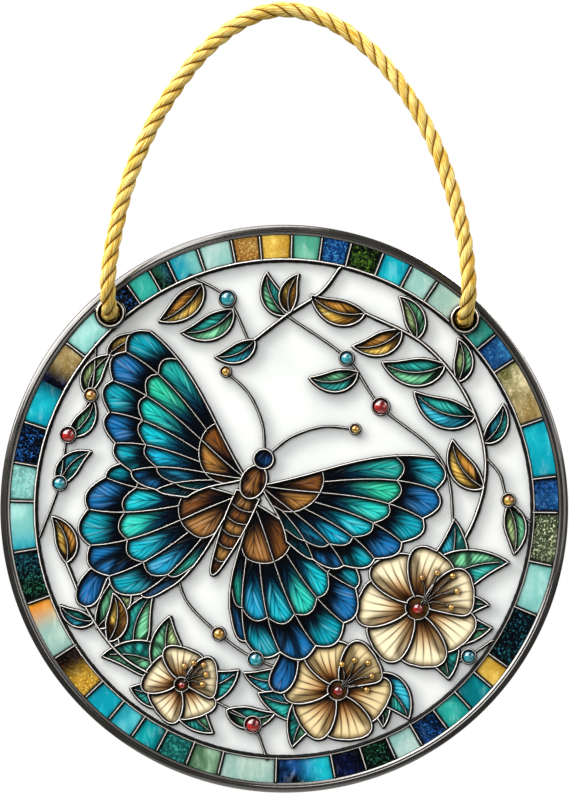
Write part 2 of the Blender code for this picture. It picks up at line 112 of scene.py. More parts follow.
def evenly(points, step):
    """The same line with its points a fixed step apart, and its length"""
    columns = np.asarray(points).reshape(len(points), -1)
    run = np.append(0, np.cumsum(np.linalg.norm(np.diff(columns, axis=0), axis=1)))
    at = np.linspace(0, run[-1], max(2, round(run[-1] / step) + 1))
    return np.stack([np.interp(at, run, axis) for axis in columns.T], axis=-1).squeeze(), run[-1]


def in_row_frame(points):
    """Points in millimetres from the panel's centre, in metres in the row frame"""
    return np.asarray(points) * MM + np.array(PANEL_CENTRE)


def unit(vectors):
    return vectors / np.linalg.norm(vectors, axis=-1, keepdims=True)


def crossways(line):
    """Two directions square to a line at each point, turning with it and not about it"""
    way = unit(np.gradient(line, axis=0))
    side = np.cross(way[0], (0.3, 0.9, 0.1))
    sides = []
    for heading in way:
        side = unit(side - heading * side.dot(heading))
        sides.append(side)
    return np.array(sides), np.cross(way, sides)


def new_piece(name, material, points, faces, carried):
    """A mesh in the scene, riding on the part, with values that its material reads at each point"""
    data = bpy.data.meshes.new(name)
    data.from_pydata(in_row_frame(points), [], faces)
    data.shade_smooth()
    data.materials.append(material)
    for key, values in carried.items():
        kind, field = ("FLOAT", "value") if np.ndim(values) == 1 else ("FLOAT_VECTOR", "vector")
        data.attributes.new(key, kind, "POINT").data.foreach_set(field, np.float32(values).ravel())
    piece = bpy.data.objects.new(name, data)
    bpy.context.collection.objects.link(piece)
    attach(piece, "root")
    return piece


def tube_faces(rings, sides, closed_ends=True):
    """Quads between rings of points, and the two ends"""
    here = np.arange(sides)
    there = np.roll(here, -1)
    band = np.stack([here, there, there + sides, here + sides], axis=1)
    faces = np.concatenate([band + i * sides for i in range(rings - 1)]).tolist()
    if closed_ends:
        faces += [here[::-1].tolist(), (here + (rings - 1) * sides).tolist()]
    return faces


def joined(shapes):
    """Several shapes as one; each has points, faces and the values that its points carry"""
    faces, count = [], 0
    for points, own_faces, _ in shapes:
        faces += [[i + count for i in face] for face in own_faces]
        count += len(points)
    carried = {key: np.concatenate([values[key] for *_, values in shapes]) for key in shapes[0][2]}
    return np.concatenate([points for points, *_ in shapes]), faces, carried


def lay_rope(route, step):
    """A line's even points, and the shape of the strands laid round it, with their yarns as ridges"""
    line, length = evenly(route, step)
    side, other = crossways(line)
    run = np.linspace(0, length, len(line))
    sides = YARNS * POINTS_PER_YARN
    yarn = 2 * pi * np.arange(sides) / sides
    angle = yarn + (2 * pi * YARN_TURNS * run / ROPE_LAY)[:, None]
    ridge = np.broadcast_to(np.abs(np.cos(yarn * YARNS / 2)), angle.shape)
    radius = STRAND_RADIUS + YARN_RELIEF * (ridge - 0.7)
    strands = []
    for strand in range(STRANDS):
        turn = 2 * pi * (run / ROPE_LAY + strand / STRANDS)
        core = line + STRAND_OFFSET * (np.cos(turn)[:, None] * side + np.sin(turn)[:, None] * other)
        heading = unit(np.gradient(core, axis=0))
        out = core - line
        out = unit(out - heading * np.sum(out * heading, axis=1)[:, None])
        rings = np.cos(angle)[..., None] * out[:, None]
        rings += np.sin(angle)[..., None] * np.cross(heading, out)[:, None]
        points = (core[:, None] + radius[..., None] * rings).reshape(-1, 3)
        unrolled = np.broadcast_arrays((run + STRAND_SHIFT * strand)[:, None], STRAND_RADIUS * np.cos(yarn),
                                       STRAND_RADIUS * np.sin(yarn))
        strands.append((points, tube_faces(len(line), sides), {
            "crown": np.cos(angle).ravel(), "ridge": ridge.ravel(),
            "yarn": np.stack(unrolled, axis=2).reshape(-1, 3)}))
    return line, joined(strands)


def tint(code):
    """A colour from its six-letter code"""
    shown = [int(code[i:i + 2], 16) / 255 for i in (0, 2, 4)]
    return [((c + 0.055) / 1.055) ** 2.4 if c > 0.04045 else c / 12.92 for c in shown] + [1.0]


def shader_maths(operation, reflected=False):
    """A method that adds a Math node for a value and another one, or a number"""
    def method(value, other=0.0):
        first, second = (other, value) if reflected else (value, other)
        return value.finish.node("ShaderNodeMath", {"operation": operation}, {0: first, 1: second})
    return method


class Value:
    """One output of a material's nodes; arithmetic on it adds Math nodes"""
    __add__, __radd__ = shader_maths("ADD"), shader_maths("ADD", True)
    __sub__, __rsub__ = shader_maths("SUBTRACT"), shader_maths("SUBTRACT", True)
    __mul__, __rmul__ = shader_maths("MULTIPLY"), shader_maths("MULTIPLY", True)
    __truediv__, __pow__ = shader_maths("DIVIDE"), shader_maths("POWER")
    __abs__, sine = shader_maths("ABSOLUTE"), shader_maths("SINE")

    def __init__(self, finish, socket):
        self.finish, self.socket = finish, socket

    def wave(self):
        """From 0 to 1 and back, once for each whole number"""
        return (self * (2 * pi)).sine() * 0.5 + 0.5

    def from_to(self, low, high):
        """0 at low, 1 at high, with smooth ends; low may be the greater of the two"""
        return self.finish.node("ShaderNodeMapRange", {"interpolation_type": "SMOOTHSTEP"},
                                {"Value": self, "From Min": low, "From Max": high})


class Finish:
    """A material with the constants of its shader, and the nodes that vary it"""

    def __init__(self, name, **constants):
        self.material = bpy.data.materials.new(name)
        self.material.use_nodes = True
        self.tree = self.material.node_tree
        for key, value in constants.items():
            self.put(key.replace("_", " "), value)

    def join(self, socket, value):
        """Give a socket a value of the nodes, a number or the code of a colour"""
        if isinstance(value, Value):
            self.tree.links.new(value.socket, socket)
        else:
            socket.default_value = tint(value) if isinstance(value, str) else value

    def put(self, socket, value):
        self.join(self.tree.nodes["Principled BSDF"].inputs[socket], value)

    def node(self, kind, settings=None, inputs=None, output=0):
        new = self.tree.nodes.new(kind)
        for key, value in (settings or {}).items():
            setattr(new, key, value)
        for key, value in (inputs or {}).items():
            self.join(new.inputs[key], value)
        return Value(self, new.outputs[output])

    def carried(self, name, output="Fac"):
        """A value that the mesh carries"""
        return self.node("ShaderNodeAttribute", {"attribute_name": name}, output=output)

    def parts(self, vector):
        split = self.node("ShaderNodeSeparateXYZ", inputs={0: vector})
        return [Value(self, socket) for socket in split.socket.node.outputs]

    def vector(self, x, y, z):
        return self.node("ShaderNodeCombineXYZ", inputs={0: x, 1: y, 2: z})

    def place(self):
        """The point's place in millimetres"""
        at = self.node("ShaderNodeTexCoord", output="Object")
        return self.node("ShaderNodeVectorMath", {"operation": "SCALE"}, {0: at, "Scale": 1 / MM})

    def stretched(self, vector, scale):
        return self.node("ShaderNodeVectorMath", {"operation": "MULTIPLY"}, {0: vector, 1: scale})

    def noise(self, vector, size, detail=3.0, distortion=0.0):
        """Soft random patches about so many millimetres wide"""
        return self.node("ShaderNodeTexNoise", inputs={
            "Vector": vector, "Scale": 1 / size, "Detail": detail, "Distortion": distortion})

    def painted(self, colour, *coats):
        """A colour under further coats, each given as its share of the surface and its colour"""
        for share, coat in coats:
            colour = self.node("ShaderNodeMix", {"data_type": "RGBA"}, {0: share, 6: colour, 7: coat}, 2)
        return colour

    def done(self, colour, roughness, height, depth):
        """The material, its normals leaning as if it rose by height times a depth in millimetres"""
        self.put("Base Color", colour)
        self.put("Roughness", roughness)
        self.put("Normal", self.node("ShaderNodeBump", inputs={
            "Height": height, "Distance": depth * MM, "Strength": 1.0}, output="Normal"))
        return self.material


def yarn_finish():
    finish = Finish("golden_yarn", Specular_IOR_Level=0.1)
    crown, ridge = finish.carried("crown"), finish.carried("ridge").from_to(0.45, 1.0)
    yarn = finish.carried("yarn", "Vector")
    fibres = finish.noise(finish.stretched(yarn, (0.1, 1.0, 1.0)), 0.7, 3.0)
    hairs = finish.noise(finish.stretched(yarn, (0.05, 1.0, 1.0)), 0.22, 2.0)
    patches = finish.noise(finish.place(), 6.0, 2.0)
    # Painted shade: darker between the yarns, and brown to dark brown in the grooves between the strands
    colour = finish.painted(
        "cda430", ((fibres * 0.7 + patches * 0.4).from_to(0.38, 0.68), "f3df8e"),
        (hairs.from_to(0.48, 0.64) * 0.8, "b07c14"), ((1 - ridge) * (1 - fibres * 0.8) * 0.6, "8a5f0a"),
        (crown.from_to(0.8, 0.1), "9a6404"), (crown.from_to(0.48, 0.15), "3a2000"))
    return finish.done(colour, 0.6, fibres * 0.6 + hairs * 0.3 + ridge * 0.3, 0.15)


golden_yarn = yarn_finish()
rope_line, rope_shape = lay_rope(smooth(ROPE_ROUTE), ROPE_STEP)
rope = new_piece("twisted_rope", golden_yarn, *rope_shape)
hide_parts("hanging_rope")


# ---------------- the knots
# An overhand knot in the rope behind each eyelet, pulled tight against its flange, with a short end.
EYELETS = {"left": 92.2 * np.exp(1j * radians(131.6)), "right": 92.2 * np.exp(1j * radians(46.5))}
KNOT_FOOT = 4.1  # where the rope comes out of the eyelet
KNOT_MIDDLE = 7.0
KNOT_SPAN = np.linspace(-0.62, 2 * pi - 1.35, 40)
KNOT_SIZE = 1.28  # times the plain curve of an overhand knot
KNOT_PILE = 2.97  # from its lowest crossing to its highest
KNOT_LEAN = 2.2  # backwards in one turn
KNOT_STEP = 0.7
SHORT_END = [(0, 13.8, 0), (0, 16.3, 0), (0, 18.3, 0)]


def knot_route(centre, hand):
    """In from the eyelet, once round and through the loop, and out to the short end"""
    t = KNOT_SPAN
    depth = KNOT_MIDDLE + KNOT_PILE * (0.5 - 0.5 * np.sin(3 * t)) + KNOT_LEAN * t / (2 * pi)
    loop = np.stack([KNOT_SIZE * hand * (np.sin(t) + 2 * np.sin(2 * t)), depth,
                     KNOT_SIZE * (np.cos(t) - 2 * np.cos(2 * t))], axis=1)
    route = smooth(np.concatenate([[(0, KNOT_FOOT, 0)], loop[::3], SHORT_END]), 6)
    return route + np.array([centre.real, 0, centre.imag])


for side_name, hand in (("left", 1), ("right", -1)):
    _, knot_shape = lay_rope(knot_route(EYELETS[side_name], hand), KNOT_STEP)
    knot = new_piece(f"overhand_knot_{side_name}", golden_yarn, *knot_shape)
    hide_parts(f"rope_knot_{side_name}")


# ---------------- the acrylic panel
# A clear round of cast acrylic, 3 mm thick, that carries everything else. Its two faces are polished,
# with a few fine scratches, and the picture is on its front.
def acrylic_finish():
    finish = Finish("clear_acrylic", Alpha=0.12, Specular_IOR_Level=0.6, IOR=1.49)
    at = finish.place()
    scratches = finish.noise(finish.stretched(at, (0.5, 1.0, 0.04)), 0.6, 2.0)
    smears = finish.noise(at, 30.0, 3.0)
    return finish.done("8fa09c", 0.05 + 0.1 * smears.from_to(0.4, 0.75),
                       scratches.from_to(0.62, 0.8) + smears * 0.3, 0.01)


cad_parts["acrylic_panel"].material_slots[0].material = acrylic_finish()


# ---------------- the butterfly
# Coloured film on the panel's front, cut to the lead lines and painted with veins. The butterfly is
# the uppermost motif, so it is drawn first, and what is drawn later passes under it.
FILM_DEPTH = -1.56
FILM_STEP = 1.15
FILM_SWELL = 0.32  # how far the film domes up between its leads
SWELL_REACH = 2.6  # from a lead to where the film is level
ROW_SPACING = 0.866  # of the film's points, in steps
LIMIT_STEPS = 240  # round the circle at which film ends
LEAD_SAMPLES = 0.5  # between the points that distances to the leads are taken from
SEED_STEP = 7.3  # from one pane's patterns to the next one's
GLASS_TURN = 1.8  # how quickly one glass turns into another across a pane
RING_RADIUS = 87.5  # centre line of the lead ring inside the tile border
RING_LEAD, MAIN_LEAD, FINE_LEAD, VEIN_LEAD = 1.75, 1.45, 1.15, 0.9  # widths of the lead lines
BUTTERFLY_AT = -13 + 4j
BUTTERFLY_TURN = 0.96 * np.exp(1j * radians(-24))
BODY = (52j, -30j, 9.0)  # what its panes' streaks follow: from, to and width
HEAD = (15.2j, 3.6)
THORAX = (6j, 4.6, 6.4)  # centre, and half its width and height
MARGIN_BULGE = 0.055  # of the scallops, as a share of the wing's reach
# Each wing: its root, the points of its margin, how far its veins curl, the reaches at which the hub and
# the bright panes end, the glass of each bright pane and the glass of each of the hub's
FOREWING = (3 + 6j, [57 + 41j, 62 + 31j, 62 + 18j, 57 + 5j, 47 - 6j, 34 - 11j, 20 - 9j], 0.35, 0.36, 0.78,
            ["1ea49a", "2ec49c", "22cabc", "12bccb", "12aed0", "1c98c0", "1cb6bc"],
            ["84501f", "b07a36", "5e3414"])
HINDWING = (3 - 1j, [42 - 4j, 50 - 14j, 51 - 29j, 43 - 42j, 31 - 48j, 20 - 48j, 11 - 40j], -0.3, 0.4, 0.76,
            ["20b4bc", "16c2cc", "2cccb8", "18b2c4", "1ea0c8", "2abca4"], ["7a4a20", "a3703a"])
MARGIN_GLASS = ("0f9cae", "1a70ac")
TAIL = (33 - 38j, 38 - 61j, 9.0, 0.12)
FEELER = [1 + 18j, 6 + 27j, 15 + 35j, 26 + 39j]
ABDOMEN = [4.6 + 1j, 4.4 - 9j, 3.2 - 20j, 1.2 - 30j, -1.2 - 30j, -3.2 - 20j, -4.4 - 9j, -4.6 + 1j]
ABDOMEN_RINGS = [1, -4, -9, -14, -19, -24.5, -30]
RING_SAG = 1.2
covers = []  # closed outlines, the topmost first: each hides what is drawn after it
leads = []  # (points, width, number of covers above, how far out it may run)
new_panes = []  # (outline, glass, glass at the far end, where it turns, lay) of the film cut next


def circle(centre, radius, steps=40):
    return centre + radius * np.exp(2j * pi * np.arange(steps) / steps)


def closed(outline):
    return np.append(outline, outline[0])


def along(line, share):
    """The point at a share of a line's length"""
    run = np.append(0, np.cumsum(np.abs(np.diff(line))))
    return np.interp(np.asarray(share) * run[-1], run, line)


def lead(points, width=FINE_LEAD, above=None, reach=RING_RADIUS):
    leads.append((np.asarray(points), width, len(covers) if above is None else above, reach))


def pane(outline, light, deep, lay, width=0.0, far=None, turns_at=0.5):
    """A piece of film. lay gives the share of its length and width at a point, and both in millimetres.
    Across its width it may turn into the far glass, about the share turns_at"""
    outline = np.asarray(outline)
    if width:
        lead(closed(outline), width)
    covers.append(outline)
    ends = ((light, deep), far or (light, deep))
    glass, far_glass = (np.array([tint(colour)[:3] for colour in pair]) for pair in ends)
    new_panes.append((outline, glass, far_glass, turns_at, lay))


def inside(outline, points):
    """Which points lie inside a closed outline, by counting crossings"""
    near = (points.real > outline.real.min()) & (points.real < outline.real.max())
    near &= (points.imag > outline.imag.min()) & (points.imag < outline.imag.max())
    some, hit = points[near], np.zeros(len(points), bool)
    found = hit[near]
    for a, b in zip(outline, np.roll(outline, -1)):
        crosses = (a.imag > some.imag) != (b.imag > some.imag)
        if crosses.any():
            at = a.real + (b.real - a.real) * (some.imag - a.imag) / (b.imag - a.imag)
            found ^= crosses & (some.real < at)
    hit[near] = found
    return hit


def lead_distance(points):
    """How far each point is from the nearest lead line drawn so far"""
    samples = np.concatenate([evenly(line, LEAD_SAMPLES)[0] for line, *_ in leads])
    tree = KDTree(len(samples))
    for i, p in enumerate(samples):
        tree.insert((p.real, p.imag, 0), i)
    tree.balance()
    return np.array([tree.find((p.real, p.imag, 0))[2] for p in points])


def cut(outlines, above, outer, inner):
    """Points close enough to shade, and each outline's own triangles, less what lies above it"""
    limits = [circle(0, radius, LIMIT_STEPS) for radius in (outer, inner) if radius]
    span = np.concatenate(outlines)
    rows = np.arange(span.imag.min(), span.imag.max(), FILM_STEP * ROW_SPACING)
    row = np.arange(span.real.min(), span.real.max(), FILM_STEP)
    shift = np.arange(len(rows)) % 2 * FILM_STEP / 2
    grid = (row + (1j * rows + shift)[:, None]).ravel()
    grid = grid[(np.abs(grid) < outer) & (np.abs(grid) > inner)]
    places = list(grid[np.any([inside(outline, grid) for outline in outlines], axis=0)])
    loops = []
    for loop in limits + outlines + above:
        loop = loop[np.abs(loop - np.roll(loop, 1)) > 0.01]
        if np.sum((np.conj(loop) * np.roll(loop, -1)).imag) < 0:
            loop = loop[::-1]
        loops.append(list(range(len(places), len(places) + len(loop))))
        places += list(loop)
    flat = [Vector((p.real, p.imag)) for p in places]
    points, _, triangles, _, _, owners = delaunay_2d_cdt(flat, [], loops, 0, 1e-4)
    first, last = len(limits), len(limits) + len(outlines)
    chosen = [[] for _ in outlines]
    for triangle, own in zip(triangles, owners):
        mine = [o for o in own if first <= o < last]
        if mine and 0 in own and not (inner and 1 in own) and not any(o >= last for o in own):
            chosen[min(mine) - first].append(triangle)
    return np.array([complex(p.x, p.y) for p in points]), chosen


def cut_film(name, material, outer=RING_RADIUS, inner=0.0, swell=FILM_SWELL):
    """One piece of all the new panes, domed up between the leads"""
    above = covers[:len(covers) - len(new_panes)]
    at, chosen = cut([outline for outline, *_ in new_panes], above, outer, inner)
    edges = lead_distance(at)
    rise = np.clip(edges / SWELL_REACH, 0, 1)
    points = np.stack([at.real, FILM_DEPTH - swell * rise * (2 - rise), at.imag], axis=1)
    shapes = []
    for number, ((_, glass, far_glass, turns_at, lay), own) in enumerate(zip(new_panes, chosen)):
        if own:
            used, corners = np.unique(np.array(own), return_inverse=True)
            share, across, run, width = lay(at[used])
            turned = np.clip((0.5 - across / 2 - turns_at) * GLASS_TURN + 0.5, 0, 1)[:, None]
            turned = turned**2 * (3 - 2 * turned)
            light, deep = (near + (far - near) * turned for near, far in zip(glass, far_glass))
            shapes.append((points[used], corners.reshape(-1, 3).tolist(), {
                "light": light, "deep": deep, "lay": np.stack([share, across, edges[used]], axis=1),
                "span": np.stack([run, width, np.full(len(used), number * SEED_STEP)], axis=1)}))
    film = new_piece(name, material, *joined(shapes))
    new_panes.clear()


def right_side(z):
    return BUTTERFLY_AT + BUTTERFLY_TURN * np.asarray(z)


def left_side(z):
    return BUTTERFLY_AT - BUTTERFLY_TURN * np.conj(z)


def from_right(z):
    return (z - BUTTERFLY_AT) / BUTTERFLY_TURN


def from_left(z):
    return np.conj((BUTTERFLY_AT - z) / BUTTERFLY_TURN)


def straight(root, tip, width, bow=0.0):
    """The lay of a pane that runs from a root to a tip, bowed sideways"""
    def lay(z):
        local = (z - root) / (tip - root)
        share, length = local.real, abs(tip - root)
        off = (local.imag - 4 * bow * share * (1 - share)) * length
        return share, off / (width / 2), share * length, off
    return lay


def blade(root, tip, width, bow, pointed):
    """Spine and two sides of a leaf, or of a petal with a round end"""
    t = np.linspace(0, 1, 36)
    spine = root + (tip - root) * (t + 4j * bow * t * (1 - t))
    half = np.sin(pi * t**0.8) ** 0.85 if pointed else t**0.7 * np.sqrt(1 - t**5)
    way = np.gradient(spine)
    out = 1j * way / np.abs(way) * half / half.max() * width / 2
    return spine, spine + out, spine - out


def petal_outline(root, tip, width, bow):
    _, left, right = blade(root, tip, width, bow, pointed=False)
    return np.concatenate([left, right[-2::-1]])


class Wing:
    """Veins that fan out from a root to a scalloped margin, and the panes between them"""

    def __init__(self, root, margin, curl, cells):
        self.root, self.curl, self.cells = root, curl, cells
        self.edge = smooth(margin, 40)

    def at(self, share, reach, bulge=0.0):
        way = along(self.edge, share) - self.root
        scallop = 1 + bulge * np.sin(pi * (np.asarray(share) * self.cells % 1.0))
        return self.root + way * reach * scallop * np.exp(1j * self.curl * reach * (1 - reach))

    def crossing(self, cell, reach, bulge, count=1):
        share = np.linspace(cell, cell + count, 14 * count) / self.cells
        return self.at(np.clip(share, 1e-6, 1 - 1e-6), reach, bulge)

    def vein(self, share, low, high):
        return self.at(np.full(24, share), np.linspace(low, high, 24))

    def lay(self, back, low, high, cell, count):
        """The lay of the cells' pane between two reaches"""
        shares = np.linspace(0, 1, 200)
        angles = np.unwrap(np.angle(along(self.edge, shares) - self.root))
        order, middle = np.argsort(angles), angles.mean()

        def place(z):
            local = back(z) - self.root
            reach = np.full(len(z), 0.5)
            for _ in range(6):
                angle = np.angle(local * np.exp(-1j * self.curl * reach * (1 - reach)) / np.exp(1j * middle))
                share = np.interp(angle + middle, angles[order], shares[order])
                reach = np.abs(local) / np.abs(along(self.edge, share) - self.root)
            across = 2 * (share * self.cells - cell) / count - 1
            fan_width = np.abs(local) * np.ptp(angles) / self.cells * count / 2
            return (reach - low) / (high - low), across, np.abs(local), across * fan_width
        return place


def draw_wing(side, back, root, margin, curl, hub, band, glass, hub_glass):
    """Three rows of panes: brown ones at the hub, bright ones between the veins, and a dark margin"""
    cells = len(glass)
    wing = Wing(root, margin, curl, cells)
    hub_cuts = [round(cells * k / len(hub_glass)) for k in range(len(hub_glass) + 1)]
    for share in (0.0, 1.0):
        lead(side(wing.vein(share, 0.0, 1.0)), MAIN_LEAD)
    for reach, bulge, width in ((1.0, MARGIN_BULGE, MAIN_LEAD), (band, MARGIN_BULGE, FINE_LEAD),
                                (hub, 0.0, FINE_LEAD)):
        lead(side(np.concatenate([wing.crossing(cell, reach, bulge) for cell in range(cells)])), width)
    for cell in range(1, cells):
        lead(side(wing.vein(cell / cells, hub, 1.0)))
    for cell in hub_cuts[1:-1]:
        lead(side(wing.vein(cell / cells, 0.0, hub)))

    def between(start, end, low, high, light, deep):
        """The pane between two veins and two reaches"""
        first, last = (side(wing.vein(cell / cells, low, high)) for cell in (start, end))
        near, far = (side(wing.crossing(start, reach, MARGIN_BULGE * (reach > hub), end - start))
                     for reach in (low, high))
        pane(np.concatenate([first, far, last[::-1], near[::-1]]), light, deep,
             wing.lay(back, low, high, start, end - start))

    for cell in range(cells):
        between(cell, cell + 1, hub, band, glass[cell], "083f62")
        between(cell, cell + 1, band, 1.0, MARGIN_GLASS[cell % 2], "04142a")
    for start, end, light in zip(hub_cuts, hub_cuts[1:], hub_glass):
        between(start, end, 0.0, hub, light, "2a1206")


def draw_butterfly():
    start, end, width = BODY
    body = straight(right_side(start), right_side(end), width)
    pane(right_side(circle(*HEAD, 28)), "2f7fd0", "07183c", body, MAIN_LEAD)
    middle, half_width, half_height = THORAX
    ball = circle(0, 1)
    thorax = middle + half_width * ball.real + 1j * half_height * ball.imag
    pane(right_side(thorax), "b4793a", "3a1a08", body, MAIN_LEAD)
    abdomen = smooth(ABDOMEN, 16)
    lead(right_side(closed(abdomen)), MAIN_LEAD)
    edge = abdomen[:len(abdomen) // 2]
    for number, (top, bottom) in enumerate(zip(ABDOMEN_RINGS, ABDOMEN_RINGS[1:])):
        levels = np.linspace(top, bottom, 8)
        half = np.interp(-levels, -edge.imag, edge.real)
        sag = RING_SAG * (1 - np.linspace(-1, 1, 9) ** 2)
        low = np.linspace(-half[-1], half[-1], 9) + 1j * (bottom - sag)
        high = np.linspace(half[0], -half[0], 9) + 1j * (top - sag)
        if number:
            lead(right_side(high), VEIN_LEAD, len(covers) - number)
        pane(right_side(np.concatenate([high, -half + 1j * levels, low, (half + 1j * levels)[::-1]])),
             ("b98746", "7c4a1f")[number % 2], ("4a250c", "241006")[number % 2], body)
    sides = ((right_side, from_right, 1), (left_side, from_left, -1))
    for side, back, _ in sides:
        draw_wing(side, back, *FOREWING)
    root, tip, width, bow = TAIL
    for side, back, hand in sides:
        draw_wing(side, back, *HINDWING)
        lay = straight(side(root), side(tip), width, bow * hand)
        pane(side(petal_outline(*TAIL)), "1b6fb0", "06142e", lay, MAIN_LEAD)
    for side, *_ in sides:
        lead(side(smooth(FEELER)))


def glass_finish(name):
    """Coloured film, with the two colours, the lay and the distance to a lead that every pane carries"""
    finish = Finish(name, Specular_IOR_Level=0.12, IOR=1.5)
    light, deep = finish.carried("light", "Color"), finish.carried("deep", "Color")
    share, across, edge = finish.parts(finish.carried("lay", "Vector"))
    run, width, seed = finish.parts(finish.carried("span", "Vector"))
    return finish, light, deep, share, across, edge, run, width, seed


def close_film(finish, colour, edge, height, darkness=0.9, reach=2.8):
    """Paint shade on the film beside its leads, bump it by the given height, and leave the surface a little
    uneven
    """
    uneven = finish.noise(finish.place(), 9.0, 3.0)
    shade = (edge + uneven * 0.8).from_to(reach, 0.9)
    colour = finish.painted(colour, (shade * darkness, "020407"))
    return finish.done(colour, 0.14 + 0.16 * uneven, height * 0.5 + uneven, 0.12)


def feather(finish, run, width, seed, slant):
    """Painted strokes that slant out from a pane's middle line: broad ones, and thin dark ones"""
    aside = abs(width)
    down = run * np.cos(slant) + aside * np.sin(slant)
    over = aside * np.cos(slant) - run * np.sin(slant)
    half = seed + width.from_to(-0.05, 0.05) * 5.0
    broad = finish.noise(finish.vector(down * 0.07, over * 0.8, half), 1.0, 3.0)
    fade = finish.noise(finish.vector(down * 0.16, over * 0.5, half + 2.0), 1.0, 2.0)
    thin = (over * 0.78 + broad * 0.35).wave() ** 4.0 * fade.from_to(0.3, 0.56)
    return broad, thin, aside.from_to(0.4, 0.08)


def wing_finish():
    finish, light, deep, share, across, edge, run, width, seed = glass_finish("wing_glass")
    broad, thin, middle = feather(finish, run, width, seed, radians(17))
    # Pale strokes toward each pane's tip, lightened with white, are a painted highlight
    colour = finish.painted(
        deep, ((share + broad * 0.7 - across * 0.16).from_to(0.6, 1.25), light),
        (broad.from_to(0.5, 0.72) * share.from_to(0.25, 0.8) * 0.6, finish.painted(light, (0.14, "ffffff"))),
        (thin * (1 - share * 0.35), "020d18"), (middle * (1 - share * 0.6), "020d18"),
        ((share + broad * 0.5).from_to(1.0, 0.4) * 0.97, "010308"))
    return close_film(finish, colour, edge, thin)


draw_butterfly()
cut_film("butterfly_panes", wing_finish())


# ---------------- the blossoms
# Cream petals painted with brown streaks that run out from the heart, and a bronze heart. Stamens of
# fine wire with gold beads are soldered over the heart.
# Each blossom: centre, radius, number of petals, turn, and the petals' two glasses
BLOSSOMS = [(47 - 35j, 21, 7, 0.3, "f6e9c2", "deb46c"), (19 - 64j, 18, 6, 0.75, "ecd6a2", "cf9c54"),
            (-36 - 62j, 13, 5, 0.2, "f6e9c2", "deb46c")]
PETAL_FULLNESS = 5.6  # the petals' widths together, in radii
PETAL_BOW = 0.05
HEART_SHARE = 0.2
STAMENS = [(0.0, 0.8), (0.32, 0.68), (-0.34, 0.72), (0.68, 0.52), (-0.72, 0.56)]  # each one's turn and reach
STAMEN_TURN = 0.75
STAMEN_WIRE = 0.55
WIRE_BENDS = np.array([0.2, 0.6, 1.0])  # shares of a stamen's reach that its wire is bent through
BEAD_RADIUS = 1.15
HEART_BEAD = 0.1  # in the blossom's radii
beads = []  # (centre, radius, glass)


def draw_blossom(centre, radius, petals, turn, light, deep):
    for aside, reach in STAMENS:
        wire = centre + WIRE_BENDS * reach * radius * np.exp(1j * (STAMEN_TURN + WIRE_BENDS * aside))
        lead(smooth(wire, 8), STAMEN_WIRE)
        beads.append((wire[-1], BEAD_RADIUS, "gold"))
    beads.append((centre, HEART_BEAD * radius, "red"))
    heart = HEART_SHARE * radius
    pane(circle(centre, heart, 24), "5a2408", "140402", straight(centre - heart, centre + heart, 2 * heart),
         FINE_LEAD)
    for i in range(petals):
        way = np.exp(1j * (turn + 2 * pi * i / petals))
        petal = (centre + heart / 2 * way, centre + radius * way, PETAL_FULLNESS * radius / petals, PETAL_BOW)
        pane(petal_outline(*petal), light, deep, straight(*petal), MAIN_LEAD)


def petal_finish():
    finish, light, deep, share, across, edge, _, _, seed = glass_finish("petal_glass")
    fan = across / (share + 0.2)
    brush = finish.noise(finish.vector(fan * 1.4, share * 0.7, seed), 1.0, 3.0)
    ray = (fan * 2.9 + brush * 0.6).wave() ** 6.0
    # The tan along each petal's edges, beside its leads, is painted shade
    colour = finish.painted(
        deep, ((share + brush * 0.5).from_to(0.3, 1.0), light),
        ((edge + brush * 2.0).from_to(4.2, 0.8) * 0.6, "b08640"),
        (ray * (share + brush * 0.5).from_to(1.4, 0.7), "3a1a06"),
        ((share + brush * 0.75).from_to(1.02, 0.5) * 0.7, "8a4414"),
        ((share + brush * 0.8).from_to(0.82, 0.42) * 0.97, "180501"))
    return close_film(finish, colour, edge, ray, 0.6)


for blossom in BLOSSOMS:
    draw_blossom(*blossom)
cut_film("blossom_panes", petal_finish())


# ---------------- the leaves and tendrils
# Leaves of two-tone film on either side of a lead midrib: green and teal round the blossoms, and
# gold, bronze, blue and green ones along the stems. Tendrils are bare lead.
GREEN, TEAL, BLUE = ("7fd6a0", "0b4a35"), ("35b8ac", "07383f"), ("3fc4dc", "0b4c77")
GOLD, BRONZE, SAGE = ("fbd064", "b8761e"), ("d89840", "663612"), ("cae69e", "567c3c")
LEAF_SLIMNESS = 0.44
LEAF_BOW = 0.14
# Root, tip, width, bow and the two glasses of each leaf that grows from a blossom
BLOSSOM_LEAVES = [
    (47 - 35j, 79 - 19j, 15, 0.14, GREEN, TEAL), (47 - 35j, 73 - 42j, 14, -0.12, TEAL, GREEN),
    (45 - 40j, 58 - 60j, 15, 0.14, TEAL, GREEN), (47 - 35j, 60 - 4j, 14, -0.14, BLUE, TEAL),
    (30 - 60j, 44 - 74j, 11, 0.12, BLUE, TEAL), (19 - 64j, 3 - 84j, 12, -0.14, GREEN, TEAL),
    (17 - 64j, -9 - 65j, 13, 0.16, TEAL, BLUE), (-36 - 62j, -25 - 79j, 10, -0.12, GREEN, TEAL),
    (-36 - 62j, -54 - 63j, 11, 0.14, TEAL, BLUE), (-36 - 62j, -16 - 57j, 11, -0.15, BLUE, TEAL),
    (-36 - 62j, -40 - 38j, 12, 0.14, GREEN, SAGE)]
